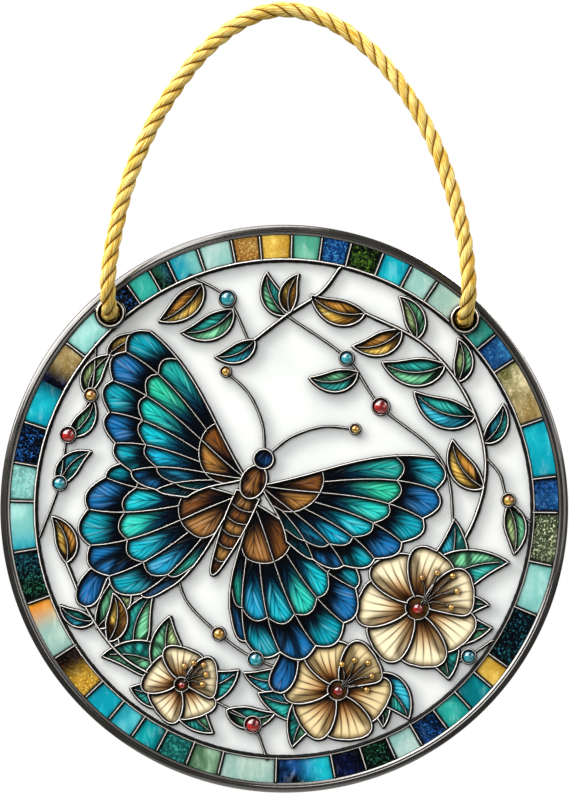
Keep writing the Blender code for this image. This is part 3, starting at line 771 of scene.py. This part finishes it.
# Each spray: the stem's points, then its leaves: place on the stem, turn in degrees, length, two glasses
SPRAYS = [
    ([52 - 30j, 67 - 4j, 71 + 18j, 64 + 40j, 49 + 58j, 28 + 69j],
     [(0.34, 42, 20, GOLD, BRONZE), (0.47, -40, 15, BLUE, TEAL), (0.55, 46, 23, BLUE, TEAL),
      (0.66, -36, 15, SAGE, GREEN), (0.72, 46, 22, GREEN, TEAL), (0.83, -36, 16, SAGE, GREEN),
      (0.88, 44, 18, GOLD, BRONZE), (0.995, 8, 20, GOLD, BRONZE)]),
    ([-40 - 62j, -57 - 52j, -69 - 36j, -77 - 18j],
     [(0.45, -44, 17, GOLD, BRONZE), (0.6, 34, 13, BLUE, TEAL), (0.98, -6, 17, GOLD, BRONZE)]),
    ([-12 + 58j, 1 + 68j, 13 + 76j, 20 + 85j], [(0.05, 165, 15, BLUE, TEAL), (0.42, 44, 14, GOLD, BRONZE)])]
# Further leaves that lie under all the rest: root, tip, bow and two glasses
UNDER_LEAVES = [
    (-79 + 8j, -68 + 20j, 0.14, BLUE, TEAL), (-76 + 26j, -67 + 38j, -0.14, GREEN, TEAL),
    (-69 + 40j, -61 + 54j, 0.14, SAGE, GREEN), (-62 + 54j, -50 + 61j, 0.05, GOLD, BRONZE),
    (-29 + 79j, -44 + 66j, 0.1, GOLD, BRONZE), (-18 + 70j, -36 + 62j, 0.14, GREEN, TEAL),
    (1 + 68j, -6 + 83j, 0.12, GREEN, TEAL), (26 + 48j, 9 + 46j, 0.14, TEAL, GREEN),
    (-38 - 60j, -64 - 52j, -0.14, GREEN, TEAL), (-52 - 54j, -46 - 30j, 0.14, TEAL, GREEN),
    (-66 - 42j, -57 - 20j, -0.12, GREEN, SAGE), (-20 - 71j, -3 - 72j, -0.14, TEAL, GREEN),
    (6 - 58j, -14 - 58j, 0.14, BLUE, TEAL), (30 - 62j, 35 - 77j, 0.1, GREEN, TEAL),
    (50 - 42j, 72 - 34j, 0.14, GREEN, TEAL), (79 + 1j, 81 - 16j, 0.1, GREEN, SAGE)]
TENDRILS = [
    [60 - 14j, 56 + 16j, 34 + 36j, 22 + 53j, 1 + 68j], [-12 + 58j, -20 + 74j, -33 + 82j],
    [-86 - 10j, -79 + 9j, -76 + 26j, -68 + 40j, -66 + 58j], [71 + 18j, 76 + 12j, 79 + 3j, 88 - 6j],
    [5 - 58j, -10 - 53j, -23 - 44j, -34 - 33j, -38 - 22j], [-36 - 62j, -20 - 70j, -11 - 76j, -6 - 88j],
    [55 - 57j, 65 - 52j, 74 - 46j]]


def draw_leaf(root, tip, width, bow, *glasses):
    spine, *sides = blade(root, tip, width, bow, pointed=True)
    lead(spine[:-3], VEIN_LEAD)
    for side in sides:
        lead(side, MAIN_LEAD)
    for side, glass in zip(sides, glasses):
        pane(np.concatenate([side, spine[-2:0:-1]]), *glass, straight(root, tip, width, bow))


def draw_leaves():
    for leaf in BLOSSOM_LEAVES:
        draw_leaf(*leaf)
    for points, leaves in SPRAYS:
        stem = smooth(points)
        for at, turn, length, *glasses in leaves:
            root = along(stem, at)
            way = along(stem, min(at + 0.02, 1.0)) - along(stem, min(at, 0.98))
            tip = root + length * way / abs(way) * np.exp(1j * radians(turn))
            draw_leaf(root, tip, LEAF_SLIMNESS * length, LEAF_BOW * np.sign(turn), *glasses)
        lead(stem, RING_LEAD)
    for points in TENDRILS:
        lead(smooth(points))
    for root, tip, bow, *glasses in UNDER_LEAVES:
        draw_leaf(root, tip, LEAF_SLIMNESS * abs(tip - root), bow, *glasses)


def leaf_finish():
    finish, light, deep, share, across, edge, run, width, seed = glass_finish("leaf_glass")
    broad, thin, _ = feather(finish, run, width, seed, radians(34))
    colour = finish.painted(
        deep, ((share * 0.5 + broad * 1.1 - abs(across) * 0.1).from_to(0.4, 0.8), light),
        (broad.from_to(0.55, 0.75) * share.from_to(0.2, 0.6) * 0.3, "d8fff0"), (thin * 0.85, "020806"),
        ((share + broad * 0.6).from_to(0.82, 0.32) * 0.95, "010403"))
    return close_film(finish, colour, edge, thin, 0.85, reach=2.4)


draw_leaves()
cut_film("leaf_panes", leaf_finish())


# ---------------- the tile border
# A ring of small tiles in many art glasses between the lead ring and the rim: wispy aqua and
# turquoise, marbled cream and gold, and dark blue and green glass with a crackle.
EYELET_HOLE = 4.2
EYELET_LEAD = 4.8  # radius of the lead round an eyelet
TILE_INNER, TILE_MIDDLE, TILE_OUTER = RING_RADIUS - 0.2, 92, 96.9
TILE_DEPTH = 9
TILE_SPARE = 0.3  # cut off at the outer edge
SPOKE_REACH = 96.0  # how far out the leads between the tiles run
AQUA, SKY, CYAN = ("a6d8d0", "74b8b0"), ("5ac6ca", "1a94a6"), ("1cc0ca", "0890a4")
ICE, PEARL, CREAM = ("bed4cc", "8abab0"), ("c8d8c6", "8cb0a6"), ("e4d4a4", "8c7440")
MINT, TURQUOISE, LAGOON = ("98d8ba", "4a9a80"), ("40c2b0", "0e8880"), ("0eaaac", "046a72")
MOSS, JADE, TEAL_FLINT = ("9cc29e", "406444"), ("3cac9c", "0a4a48"), ("226a78", "02060a")
OLIVE, FOREST, LICHEN = ("4e7428", "040903"), ("2e7454", "020806"), ("e4e4b8", "36442e")
ROYAL, NAVY, NIGHT = ("44a0d8", "0a3068"), ("286cbc", "010308"), ("10205a", "010206")
AMBER, MARBLE, OCHRE = ("f8d668", "b88a28"), ("e4d6a2", "5c5c2c"), ("f4d078", "946428")
EMBER, SOOT = ("fac63c", "dc8414"), ("4a2c14", "030202")
# Degrees clockwise from the top at which each tile begins, its glass and how much crackle it has. A tile
# of two glasses has the far one too, and the share of its length at which that takes over
TILES = [
    (1.6, MINT, 0.0), (8, ROYAL, 1.0), (14.2, OLIVE, 1.0), (21.2, CYAN, 0.0), (27.7, ICE, 0.0),
    (34, PEARL, 0.1), (43.5, JADE, 0.1), (50.5, ROYAL, 0.5), (57, MARBLE, 0.4, CREAM), (70.8, CYAN, 0.0),
    (83.2, NAVY, 0.7, ROYAL, 0.6), (90.8, LICHEN, 1.0), (102, AQUA, 0.1), (113, TEAL_FLINT, 1.0),
    (125.3, AMBER, 0.2), (130.7, LAGOON, 0.0), (137, TURQUOISE, 0.1), (143.5, NAVY, 0.8), (149.7, ICE, 0.3),
    (156, FOREST, 1.0), (162.5, NIGHT, 0.8), (169.3, CYAN, 0.0, NAVY, 0.4), (181.8, PEARL, 0.0),
    (194, MOSS, 0.0), (201, JADE, 0.9), (207.8, LAGOON, 0.0), (213.8, SKY, 0.0), (219.8, CYAN, 0.0),
    (226.5, AMBER, 0.9, SOOT, 0.5), (236.9, PEARL, 0.0, EMBER, 0.7), (249.7, FOREST, 1.0, TEAL_FLINT),
    (260.8, SKY, 0.0, AQUA, 0.3), (271.7, AQUA, 0.8), (279.8, NAVY, 1.0), (288.5, CYAN, 0.0, NIGHT, 0.85),
    (298, NIGHT, 0.3, CREAM, 0.4), (307.3, AQUA, 0.1), (318.4, NAVY, 0.9), (324.9, TURQUOISE, 0.1),
    (330.5, FOREST, 0.6, TEAL_FLINT), (334.6, SKY, 0.1, AQUA, 0.6), (341.5, ICE, 0.0), (348.8, OCHRE, 0.8),
    (354.8, AMBER, 0.4)]
NO_SPOKE = (43.5, 298, 318.4)  # an eyelet stands here, or one glass runs into the next


def tile_lay(start, end, crackle):
    middle, half = radians(start + end) / 2, radians(end - start) / 2

    def lay(z):
        turn = np.angle(z / (1j * np.exp(-1j * middle)))
        share = (np.abs(z) - RING_RADIUS) / TILE_DEPTH
        return share, turn / half, turn * TILE_MIDDLE, np.full(len(z), crackle)
    return lay


def draw_border():
    for centre in EYELETS.values():
        covers.append(circle(centre, EYELET_HOLE))
        lead(closed(circle(centre, EYELET_LEAD, 41)), MAIN_LEAD, reach=SPOKE_REACH)
    above = len(covers)
    ends = [start for start, *_ in TILES[1:]] + [TILES[0][0] + 360]
    for (start, glass, crackle, *far), end in zip(TILES, ends):
        turns = 1j * np.exp(-1j * np.radians(np.linspace(start, end, 24)))
        if start not in NO_SPOKE:
            lead([RING_RADIUS * turns[0], TILE_OUTER * turns[0]], MAIN_LEAD, above, SPOKE_REACH)
        pane(np.concatenate([TILE_INNER * turns, (TILE_OUTER + TILE_SPARE) * turns[::-1]]), *glass,
             tile_lay(start, end, crackle), 0, *far)
    lead(closed(circle(0, RING_RADIUS, 360)), RING_LEAD, above, TILE_OUTER)


def tile_finish():
    finish, light, deep, _, across, edge, _, crackle, seed = glass_finish("tile_glass")
    moved = finish.node("ShaderNodeVectorMath", {"operation": "ADD"},
                        {0: finish.place(), 1: finish.vector(seed * 13.0, seed, seed)})
    clouds = finish.noise(moved, 13.0, 2.0, 0.5)
    streaks = finish.noise(finish.stretched(moved, (1.0, 1.0, 0.4)), 2.4, 3.0, 0.6)
    flakes = finish.noise(moved, 1.4, 2.0, 0.8)
    grit = finish.noise(moved, 0.8, 3.0, 0.6)
    cracks = abs(finish.noise(moved, 4.5, 4.0, 1.4) - 0.5).from_to(0.05, 0.0)
    # Each tile is a little darker towards its two sides, a painted shade beside the spokes
    wash = clouds + streaks * 0.35 - abs(across) ** 2.0 * 0.12
    plain = finish.painted(
        deep, (wash.from_to(0.5, 0.95), light), ((streaks + grit * 0.3).from_to(0.66, 0.95) * 0.14, "e6f4ef"))
    crackled = finish.painted(
        deep, ((wash * 0.5 + flakes * 0.7).from_to(0.68, 1.0), light), (cracks * 0.5, "050a12"),
        (grit.from_to(0.56, 0.65) * 0.85, light))
    colour = finish.painted(plain, (crackle, crackled))
    return close_film(finish, colour, edge, grit * crackle + streaks, 0.95, reach=1.75)


draw_border()
cut_film("border_tiles", tile_finish(), outer=TILE_OUTER, inner=TILE_INNER)


# ---------------- the opal ground
# Frosted white film behind the motifs. It carries a painted shadow, a soft grey tone below and to the
# right of each lead line, and painted shade close beside each lead, and it lets some light through.
SHADOW_SHIFT = 2.2 - 2.2j
SHADOW_REACH, CLOSE_REACH = 3.0, 1.1


def ground_lay(z):
    near, shifted = lead_distance(z), lead_distance(z - SHADOW_SHIFT)
    # A painted shadow shifted to the lower right of the leads, and painted shade close beside them
    return np.exp(-(shifted / SHADOW_REACH) ** 2), np.exp(-near / CLOSE_REACH), z.real, z.imag


def ground_finish():
    finish, light, deep, shadow, close, *_ = glass_finish("opal_ground")
    at = finish.place()
    clouds, grain = finish.noise(at, 28.0, 3.0), finish.noise(at, 0.8, 2.0)
    # The painted shadow and the painted shade, in a soft grey
    tone = (shadow * 0.4 + close * 0.36) * (0.7 + clouds * 0.6)
    colour = finish.painted(light, (clouds.from_to(0.3, 0.75), deep), (tone, "767b7b"))
    finish.put("Alpha", 0.86)
    return finish.done(colour, 0.42 + 0.2 * clouds, grain + clouds * 0.6, 0.05)


pane(circle(0, RING_RADIUS, LIMIT_STEPS), "e8e9e6", "d8dbd8", ground_lay)
cut_film("opal_ground", ground_finish(), swell=0.0)


# ---------------- the lead lines
# Half-round lines of lead-grey relief, laid along every edge of the film and between the tiles. They
# have gone nearly black, apart from a painted highlight along the upper left of each, or on the
# outer side of the ring.
LEAD_BASE = FILM_DEPTH + 0.03
LEAD_RISE = {STAMEN_WIRE: 1.4, VEIN_LEAD: 0.85, FINE_LEAD: 0.95, MAIN_LEAD: 1.15, RING_LEAD: 1.25}
LEAD_STEP = 0.75
SIGHT_STEP = 0.2  # between the places at which a line is looked for under the covers
CORNER = radians(32)
PROFILE = np.linspace(0, pi, 9)
CAP_LENGTH = 0.35  # of the width
CAP_REACH, CAP_SIZE = np.array([1.0, 0.87, 0.5]), np.array([0.08, 0.5, 0.87])
# The painted highlight lies on the upper left side of each lead, leaning towards the front
PAINTED_HIGHLIGHT_SIDE = np.exp(1j * radians(135))
PAINTED_HIGHLIGHT_LEAN = radians(30)  # from straight in front


def visible_runs(points, above, radius):
    """The stretches of a line that no cover above hides and that lie inside a radius"""
    fine, _ = evenly(points, SIGHT_STEP)
    shown = np.abs(fine) <= radius
    for cover in covers[:above]:
        shown &= ~inside(cover, fine)
    changes = np.flatnonzero(np.diff(shown.astype(int))) + 1
    runs = zip(np.split(fine, changes), np.split(shown, changes))
    return [run for run, keep in runs if keep[0] and len(run) > 3]


def split_at_corners(points):
    way = np.diff(points)
    turn = np.abs(np.angle(way[1:] / way[:-1]))
    cuts = [0, *(np.flatnonzero(turn > CORNER) + 1), len(points) - 1]
    return [points[a:b + 1] for a, b in zip(cuts, cuts[1:]) if b > a]


def off_painted_highlight(points, side):
    """How far round its half-round profile each place on a lead is from its painted highlight line"""
    outwards = points / np.maximum(np.abs(points), 1.0)
    painted_highlight = np.where(np.abs(points) > RING_RADIUS - 0.5, outwards, PAINTED_HIGHLIGHT_SIDE)
    aside = np.sin(PAINTED_HIGHLIGHT_LEAN) * (side * np.conj(painted_highlight)).real
    return PROFILE - np.arctan2(np.cos(PAINTED_HIGHLIGHT_LEAN), aside)[:, None]


def half_round(run, width, rise, seed):
    """A half-round line with rounded ends, a little uneven as laid by hand"""
    line, _ = evenly(run, LEAD_STEP)
    way = np.gradient(line)
    way /= np.maximum(np.abs(way), 1e-9)
    cap = width * CAP_LENGTH * CAP_REACH
    line = np.concatenate([line[0] - way[0] * cap, line, line[-1] + way[-1] * cap[::-1]])
    full = np.concatenate([CAP_SIZE, np.ones(len(way)), CAP_SIZE[::-1]])
    way = np.concatenate([[way[0]] * len(cap), way, [way[-1]] * len(cap)])
    at = np.arange(len(line)) * LEAD_STEP
    full *= 1 + 0.05 * np.sin(at * 0.9 + seed) + 0.04 * np.sin(at * 2.3 + seed * 1.7)
    across = line[:, None] + 1j * (way * full)[:, None] * width / 2 * np.cos(PROFILE)
    depth = LEAD_BASE - (full * rise)[:, None] * np.sin(PROFILE)
    points = np.stack([across.real, depth, across.imag], axis=2).reshape(-1, 3)
    # How far each place is from the painted highlight line, which is narrower on thinner leads
    off = off_painted_highlight(line, 1j * way).ravel() * MAIN_LEAD / width
    return points, tube_faces(len(line), len(PROFILE)), {"off_painted_highlight": off}


def lead_finish():
    finish = Finish("lead_patina", Specular_IOR_Level=0.1, IOR=1.5)
    at = finish.place()
    wear_and_highlight, patches = finish.noise(at, 2.2, 3.0), finish.noise(at, 11.0, 2.0)
    # A painted highlight: a pale line along each lead, over its near-black patina
    bright = (abs(finish.carried("off_painted_highlight")) + wear_and_highlight * 0.12).from_to(0.32, 0.1)
    painted_highlight = finish.painted("d2cabf", (wear_and_highlight.from_to(0.3, 0.75), "fffdf9"))
    colour = finish.painted("020202", (patches.from_to(0.35, 0.7), "0c0805"), (bright, painted_highlight))
    finish.put("Metallic", bright * 0.1)
    return finish.done(colour, 0.5 - 0.2 * bright + 0.1 * wear_and_highlight, wear_and_highlight, 0.08)


def lay_leads():
    shapes = []
    for number, (points, width, above, reach) in enumerate(leads):
        for visible in visible_runs(points, above, reach):
            shapes += [half_round(run, width, LEAD_RISE[width], number)
                       for run in split_at_corners(visible) if len(run) > 2]
    return joined(shapes)


lead_patina = lead_finish()
came = new_piece("half_round_leads", lead_patina, *lay_leads())
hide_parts("lead_lines")


# ---------------- the glass drops
# Small domed drops of red, teal and gold glass, each set in a ring of lead that is soldered to a
# tendril. The gold ones have a foil behind them and look like metal beads. The smaller beads of the
# stamens, the blossoms' hearts and the feelers' tips are soldered straight onto the leads.
DROPS = [
    (34 + 36j, 2.7, "red"), (22 + 53j, 2.2, "teal"), (-20 + 74j, 2.6, "teal"), (-76 + 26j, 2.5, "red"),
    (-79 + 9j, 2.2, "teal"), (-68 + 40j, 2.0, "gold"), (-10 - 53j, 2.4, "teal"), (-23 - 44j, 2.0, "gold"),
    (-11 - 76j, 2.6, "red"), (65 - 52j, 2.2, "teal"), (79 + 3j, 2.0, "gold")]
DROP_GLASS = {"red": ("c01d10", "2a0301"), "teal": ("2fb6c2", "053446"), "gold": ("f9c650", "7a4208")}
DROP_SHOULDER = LEAD_BASE - 0.5
DROP_TOP = -4.55
BEAD_FOOT = -2.3
BEAD_RISE = 1.25  # in radii
DROP_SEGMENTS, DROP_STEPS = 32, 9
BEAD_SEGMENTS, BEAD_STEPS = 20, 7
FEELER_TIPS = [(side(FEELER[-1]), 1.5, "gold") for side in (right_side, left_side)]
COLLAR = 0.75  # width of the lead round a drop
COLLAR_RISE = 1.55
COLLAR_SEGMENTS = 40


def turned(profile, centre, segments, hollow=False):
    """Points and faces of a profile of (radius, depth) turned about an axis through the panel. A hollow
    one's profile runs back to its start; any other is closed by flat ends"""
    rings = np.array([circle(centre, radius, segments) for radius, _ in profile])
    depth = np.repeat([y for _, y in profile], segments).reshape(rings.shape)
    points = np.stack([rings.real, depth, rings.imag], axis=2).reshape(-1, 3)
    faces = tube_faces(len(profile) + hollow, segments, closed_ends=not hollow)
    return points, [[i % len(points) for i in face] for face in faces]


def face_outwards(piece):
    bm = bmesh.new()
    bm.from_mesh(piece.data)
    bmesh.ops.recalc_face_normals(bm, faces=bm.faces)
    bm.to_mesh(piece.data)
    bm.free()


def dome(centre, radius, foot, top, steps, segments, skirt=()):
    """A dome whose points carry how far up they are, from 0 to 1, and how far out from its centre"""
    rise = np.linspace(0, pi / 2, steps)
    arch = zip(radius * np.cos(rise) + 0.02, foot + (top - foot) * np.sin(rise))
    points, faces = turned([*skirt, *arch], centre, segments)
    place = (points[:, 0] + 1j * points[:, 2] - centre) / radius
    return points, faces, {"up": place.imag * 0.5 + 0.5, "out": np.abs(place)}


def collar(centre, radius):
    """A half-round ring of lead round a drop"""
    ring = [(radius + COLLAR * (0.5 - 0.55 * np.cos(a)), LEAD_BASE - COLLAR_RISE * np.sin(a))
            for a in PROFILE]
    # The collar carries the same painted highlight as the leads
    off = off_painted_highlight(np.full(COLLAR_SEGMENTS, centre), -circle(0, 1, COLLAR_SEGMENTS))
    points, faces = turned(ring, centre, COLLAR_SEGMENTS, hollow=True)
    return points, faces, {"off_painted_highlight": off.T.ravel()}


def drop_finish(name, light, deep):
    finish = Finish(f"{name}_drop", Specular_IOR_Level=0.7, IOR=1.52, Coat_Weight=1.0, Coat_Roughness=0.03,
                    Metallic=0.55 if name == "gold" else 0.0)
    up, out = finish.carried("up"), finish.carried("out")
    swirl = finish.noise(finish.stretched(finish.place(), (0.8, 0.8, 1.6)), 2.2, 3.0, 2.0)
    # Painted light: darker towards each drop's top and lighter below, and painted shade round its edge
    colour = finish.painted(
        light, ((swirl * 0.8 + up * 0.5).from_to(0.35, 0.9), deep), (out.from_to(0.68, 1.0) * 0.9, "040202"))
    return finish.done(colour, 0.08 + 0.1 * swirl, swirl, 0.04)


drop_looks = {name: drop_finish(name, *colours) for name, colours in DROP_GLASS.items()}
for number, (centre, radius, glass) in enumerate(DROPS, 1):
    shape = dome(centre, radius, DROP_SHOULDER, DROP_TOP, DROP_STEPS, DROP_SEGMENTS, [(radius, LEAD_BASE)])
    drop = new_piece(f"domed_drop_{number:02d}", drop_looks[glass], *shape)
    face_outwards(drop)
    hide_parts(f"glass_drop_{number:02d}")

for glass in ("gold", "red"):
    small = new_piece(f"{glass}_beads", drop_looks[glass], *joined([
        dome(centre, radius, BEAD_FOOT, BEAD_FOOT - BEAD_RISE * radius, BEAD_STEPS, BEAD_SEGMENTS)
        for centre, radius, own in beads + FEELER_TIPS if own == glass]))
    face_outwards(small)

collars = new_piece("drop_collars", lead_patina, *joined([
    collar(centre, radius) for centre, radius, _ in DROPS + FEELER_TIPS]))
face_outwards(collars)


# ---------------- the rim
# A turned metal channel closed round the panel's edge: a narrow lip that holds the tiles, a groove,
# and a broad band that slopes to the edge, finished in dark pewter. The lip has a painted highlight,
# and the groove and the inner foot have painted shade.
RIM_SEGMENTS = 480
# Its profile of (radius, depth) in stretches, each with its painted brightness from 0 to 1: painted
# shade below one half and a painted highlight above it
RIM = [(0.15, [(96.5, -1.5), (96.45, -2.05), (96.58, -2.2)]),
       (0.62, [(96.82, -2.38), (97.08, -2.52), (97.34, -2.6)]), (0.5, [(97.48, -2.58)]),
       (0.15, [(97.6, -2.52), (97.72, -2.54)]),
       (0.5, [(97.84, -2.78), (98.0, -2.88), (98.2, -2.9), (98.45, -2.82), (98.8, -2.65), (99.1, -2.5),
              (99.4, -2.32), (99.66, -2.1), (99.85, -1.86), (99.96, -1.65), (100.0, -1.5), (100.0, 1.9),
              (99.8, 2.4), (99.3, 2.8), (98.6, 2.9), (97.0, 2.9), (96.6, 2.75), (96.5, 2.4), (96.5, 1.52)])]


def rim_finish():
    finish = Finish("dark_pewter", Metallic=0.9, IOR=1.5, Coat_Roughness=0.1, Coat_IOR=1.6)
    crown, at = finish.carried("crown"), finish.place()
    patches, specks = finish.noise(at, 16.0, 4.0), finish.noise(at, 0.7, 2.0)
    turning = finish.noise(finish.vector(crown * 90.0, 1.0, 1.0), 1.0, 2.0)
    # Painted highlight where a stretch's brightness is above one half, painted shade where it is below
    colour = finish.painted(
        "34312d", (patches.from_to(0.3, 0.75), "4c4842"), (specks.from_to(0.6, 0.75) * 0.35, "24221f"),
        (crown.from_to(0.5, 0.9), "f4f0e8"), (crown.from_to(0.5, 0.1), "080605"))
    finish.put("Coat Weight", crown.from_to(0.15, 0.4))
    return finish.done(colour, 0.2 + 0.14 * patches, specks * 0.5 + turning * 0.5, 0.015)


def pewter_ring(name, stretches, centre, segments):
    """A ring turned from a profile in stretches"""
    profile = [place for _, places in stretches for place in places]
    crown = [bright for bright, places in stretches for _ in places]
    points, faces = turned(profile, centre, segments, hollow=True)
    ring = new_piece(name, dark_pewter, points, faces, {"crown": np.repeat(crown, segments)})
    face_outwards(ring)
    return ring


dark_pewter = rim_finish()
rim = pewter_ring("turned_rim", RIM, 0, RIM_SEGMENTS)
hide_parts("rim_frame")


# ---------------- the eyelets
# Two metal eyelets pressed through the tiles and the panel: a rolled ring in front, and a barrel
# that is flared over a flat washer behind, where the rope's knots bear.
EYELET_SEGMENTS = 64
# Its profile in stretches with painted brightness as on the rim: a painted highlight round the crest of the
# rolled ring, and painted shade down the bore, at the foot of the roll and along the barrel
EYELET = [(0.5, [(3.35, 3.7)]),
          (0.0, [(3.3, -2.3), (3.5, -2.75), (3.9, -3.0), (4.15, -3.3), (4.28, -3.7)]),
          (1.0, [(4.42, -4.0), (4.62, -4.12), (4.82, -4.02)]),
          (0.0, [(4.96, -3.7), (5.04, -3.2), (5.2, -3.0)]),
          (0.5, [(5.5, -2.9), (5.6, -2.6), (5.55, -1.7)]), (0.0, [(4.0, -1.65), (4.0, 1.6)]),
          (0.5, [(5.55, 1.62), (5.6, 3.3), (5.4, 3.75), (4.6, 3.9), (3.6, 3.85)])]

for side_name, centre in EYELETS.items():
    eyelet = pewter_ring(f"rolled_eyelet_{side_name}", EYELET, centre, EYELET_SEGMENTS)
    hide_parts(f"eyelet_{side_name}")


# ---------------- the studio
# A plain white room. A large soft key lamp stands on the upper left in front, with edge lamps above and
# at both sides, a weak fill low on the right and one lamp behind. A pale round floor lies well below.
FLOOR_RADIUS, FLOOR_DEPTH, FLOOR_CORNERS = 1.3, -2.2, 64
ROOM_LIGHT = 0.2  # what the room gives, while it shows as plain white


def lamp(name, place, size, power):
    light = bpy.data.lights.new(name, "AREA")
    light.shape, light.size, light.energy = "DISK", size, power
    source = bpy.data.objects.new(name, light)
    source.location = place
    source.rotation_euler = (PANEL_CENTRE - Vector(place)).to_track_quat("-Z", "Y").to_euler()
    bpy.context.collection.objects.link(source)


lamp("key_lamp", (-1.0, -1.3, 0.9), 1.6, 43)
lamp("top_edge_lamp", (-0.55, -0.2, 1.65), 1.7, 56)
lamp("left_edge_lamp", (-1.55, -0.2, 0.8), 1.3, 42)
lamp("right_edge_lamp", (1.5, -0.15, 0.6), 1.0, 14)
lamp("fill_lamp", (1.3, -1.1, -0.1), 0.9, 4)
lamp("back_key_lamp", (0.9, 1.3, 0.8), 0.8, 32)

world = bpy.data.worlds.new("white_room")
world.use_nodes = True
bpy.context.scene.world = world
room = world.node_tree.nodes["Background"]
room.inputs["Color"].default_value = (1, 1, 1, 1)
seen = world.node_tree.nodes.new("ShaderNodeLightPath")
level = world.node_tree.nodes.new("ShaderNodeMapRange")
level.inputs["To Min"].default_value = ROOM_LIGHT
level.inputs["To Max"].default_value = 1.0
world.node_tree.links.new(seen.outputs["Is Camera Ray"], level.inputs["Value"])
world.node_tree.links.new(level.outputs["Result"], room.inputs["Strength"])
bpy.context.scene.view_settings.view_transform = "Standard"

floor_mesh = bpy.data.meshes.new("floor")
edge = circle(0, FLOOR_RADIUS, FLOOR_CORNERS)
floor_mesh.from_pydata([(p.real, p.imag, FLOOR_DEPTH) for p in edge], [], [tuple(range(FLOOR_CORNERS))])
floor = bpy.data.objects.new("floor", floor_mesh)
bpy.context.collection.objects.link(floor)
floor_mesh.materials.append(Finish("pale_floor", Base_Color="f4f4f2", Roughness=0.8).material)
